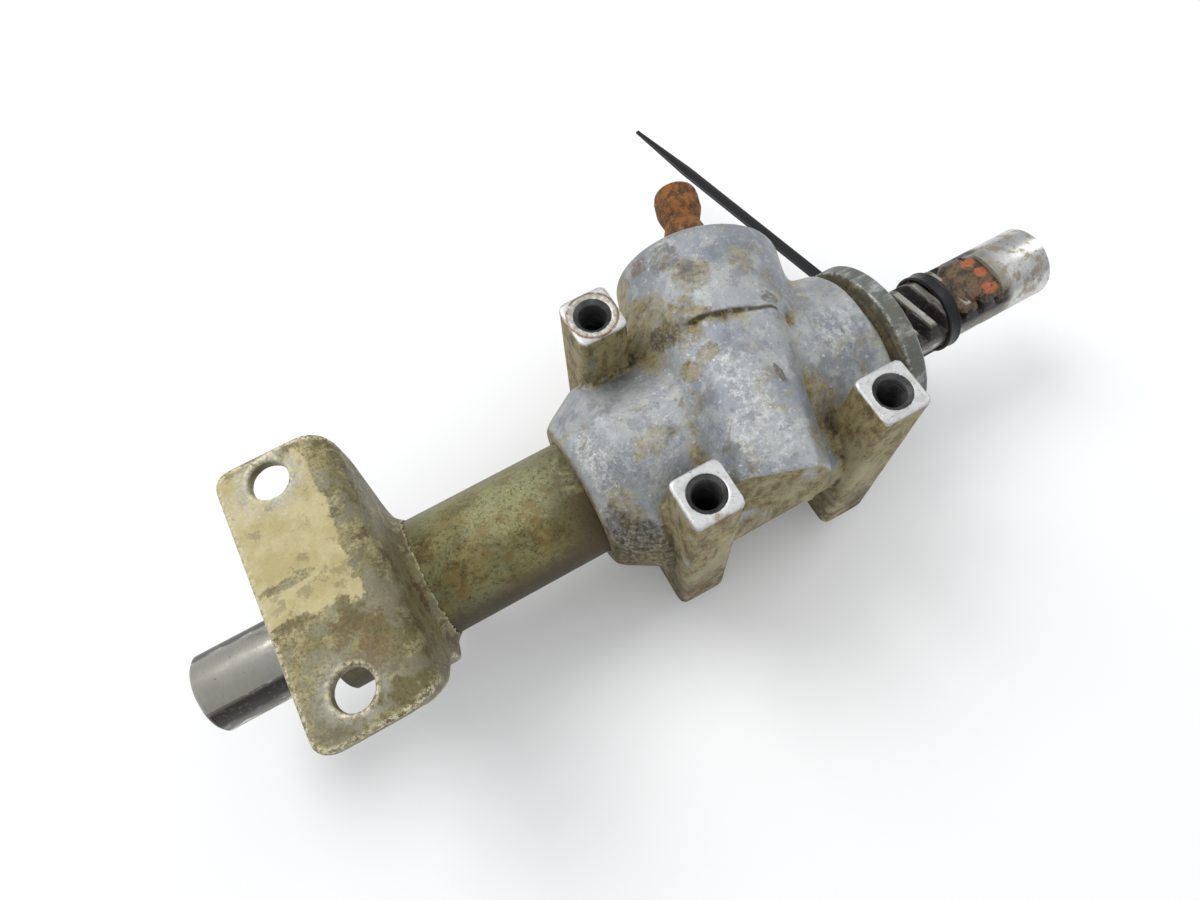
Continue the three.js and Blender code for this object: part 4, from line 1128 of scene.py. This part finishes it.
def tail_mesh():
    """The tie's free end: a flat strap with a raised rim, a row of teeth and a narrowing tip."""
    length = (TIE_TAIL_TIP - TIE_TAIL_ROOT).length
    along = (TIE_TAIL_TIP - TIE_TAIL_ROOT).normalized()
    side = Vector((0, 0, 1)).cross(along)
    bm = bmesh.new()
    previous = None
    for i in range(TAIL_STEPS + 1):
        s = length * i / TAIL_STEPS
        half = TIE_TAIL_WIDTH / 2
        if s > length - TAIL_TAPER:
            half = TAIL_TIP_HALF + (half - TAIL_TIP_HALF) * (length - s) / TAIL_TAPER
        thick = TIE_THICK / 2
        tooth = TAIL_TOOTH if i % 2 and s < length - TAIL_TAPER - 2 else 0
        section = [
            (-half, -thick * 0.6), (-half * 0.8, -thick), (half * 0.8, -thick),
            (half, -thick * 0.6), (half, thick * 0.6), (half * 0.72, thick),
            (half * 0.6, thick - 0.2 - tooth), (-half * 0.6, thick - 0.2 - tooth),
            (-half * 0.72, thick), (-half, thick * 0.6),
        ]
        centre = TIE_TAIL_ROOT + along * s
        places = [centre + side * a + Vector((0, 0, b)) for a, b in section]
        ring = [bm.verts.new(point(*place)) for place in places]
        if previous:
            for k in range(len(ring)):
                j = (k + 1) % len(ring)
                bm.faces.new((previous[k], previous[j], ring[j], ring[k]))
        else:
            bm.faces.new(ring[::-1])
        previous = ring
    bm.faces.new(previous)
    bmesh.ops.recalc_face_normals(bm, faces=bm.faces)
    mesh = bpy.data.meshes.new("tail")
    bm.to_mesh(mesh)
    bm.free()
    return mesh


def make_tie():
    r, t = TIE_INNER, TIE_THICK
    band = lathe("band", [
        (r, TIE_LEFT + 0.2), (r + t * 0.5, TIE_LEFT), (r + t, TIE_LEFT + 0.3),
        (r + t, TIE_LEFT + 0.9),
        (r + t - 0.18, TIE_LEFT + 1.1), (r + t - 0.18, TIE_RIGHT - 1.1), (r + t, TIE_RIGHT - 0.9),
        (r + t, TIE_RIGHT - 0.3), (r + t * 0.5, TIE_RIGHT), (r, TIE_RIGHT - 0.2),
    ], 96)
    bm = bmesh.new()
    bmesh.ops.create_cube(bm, size=1)
    turn = Matrix.Rotation(TIE_HEAD_TURN, 3, "X")
    middle = (TIE_LEFT + TIE_RIGHT) / 2 - 1
    for vertex in bm.verts:
        taper = 1 - 0.12 * (vertex.co.z < 0)
        wide, long, tall = (a * b for a, b in zip(vertex.co, TIE_HEAD))
        local = Vector((wide * taper, long * taper, tall - r - t - 0.9))
        vertex.co = point(*(Vector((middle, 0, 0)) + turn @ local))
    head = bpy.data.meshes.new("head")
    bm.to_mesh(head)
    bm.free()
    mesh = bevelled(joined([band, bevelled(head, 0.7, 4), tail_mesh()]), 0.12)
    add_object("tie_nylon", mesh, black_nylon(), "rack", "cable_tie")


THREAD_R = 4.45
THREAD_DEPTH = 0.45
THREAD_PITCH = 1.5
THREAD_TURNS = 14
CHAMFER_R = 5.62


def make_threads():
    """The threads that show inside the three tapped pads."""
    dark = plain_metal("thread_shadow", (0.055, 0.055, 0.055), (0.13, 0.13, 0.125), 0.6, 0.35, 0.55)
    for index, (x, y) in enumerate(PAD_CENTRES):
        top = PAD_Z - 1.3
        profile = [(THREAD_R + 0.5, top - THREAD_TURNS * THREAD_PITCH)]
        for turn in range(THREAD_TURNS, 0, -1):
            profile.append((THREAD_R, top - turn * THREAD_PITCH))
            profile.append((THREAD_R - THREAD_DEPTH, top - (turn - 0.5) * THREAD_PITCH))
        profile += [
            (THREAD_R - 0.1, top), (CHAMFER_R, PAD_Z - 0.02), (CHAMFER_R + 0.15, PAD_Z - 0.3)
        ]
        profile.append((THREAD_R + 0.5, top))
        mesh = lathe("thread", profile, 40, Vector((0, 0, 1)), Vector((x, y, 0)))
        add_object(f"pad_thread_{index + 1}", mesh, dark, "housing_body")


def finish_cad_nodes():
    """The inner pieces keep their CAD shape and get their own metals and rubber."""
    bronze = plain_metal(
        "sintered_bronze", (0.30, 0.17, 0.07), (0.46, 0.29, 0.13), 0.85, 0.35, 0.5, 0.8
    )
    spring = plain_metal("spring_steel", (0.05, 0.05, 0.055), (0.11, 0.11, 0.115), 0.8, 0.3, 0.45)
    bearing = plain_metal("bearing_steel", (0.55, 0.56, 0.57), (0.66, 0.66, 0.66), 1.0, 0.12, 0.25)
    cage = plain_metal("cage_brass", (0.42, 0.31, 0.12), (0.56, 0.43, 0.18), 0.9, 0.25, 0.4)
    light_alloy = plain_metal("yoke_alloy", (0.40, 0.40, 0.40), (0.55, 0.55, 0.54), 0.85, 0.3, 0.45)
    zinc = yellow_zinc("plug_zinc", False)
    nitrile = rubber()
    choice = {
        "rack_bush_outer": bronze, "rack_bush_inner": bronze, "pinion_lower_bush": bronze,
        "bush_retaining_ring": spring, "bearing_circlip": spring, "shaft_circlip": spring,
        "yoke_spring": spring, "pinion_bearing_outer_race": bearing,
        "pinion_bearing_inner_race": bearing,
        "pinion_bearing_cage": cage, "yoke": light_alloy, "yoke_adjuster_plug": zinc,
        "yoke_lock_nut": zinc, "pinion_oil_seal": nitrile, "yoke_o_ring": nitrile,
    }
    for name, material in choice.items():
        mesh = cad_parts[name].data
        mesh.materials.clear()
        mesh.materials.append(material)


add_camera()
add_stage()
make_housing()
make_bracket()
make_tube()
make_rack()
make_grease()
make_pinion()
make_tie()
make_threads()
finish_cad_nodes()
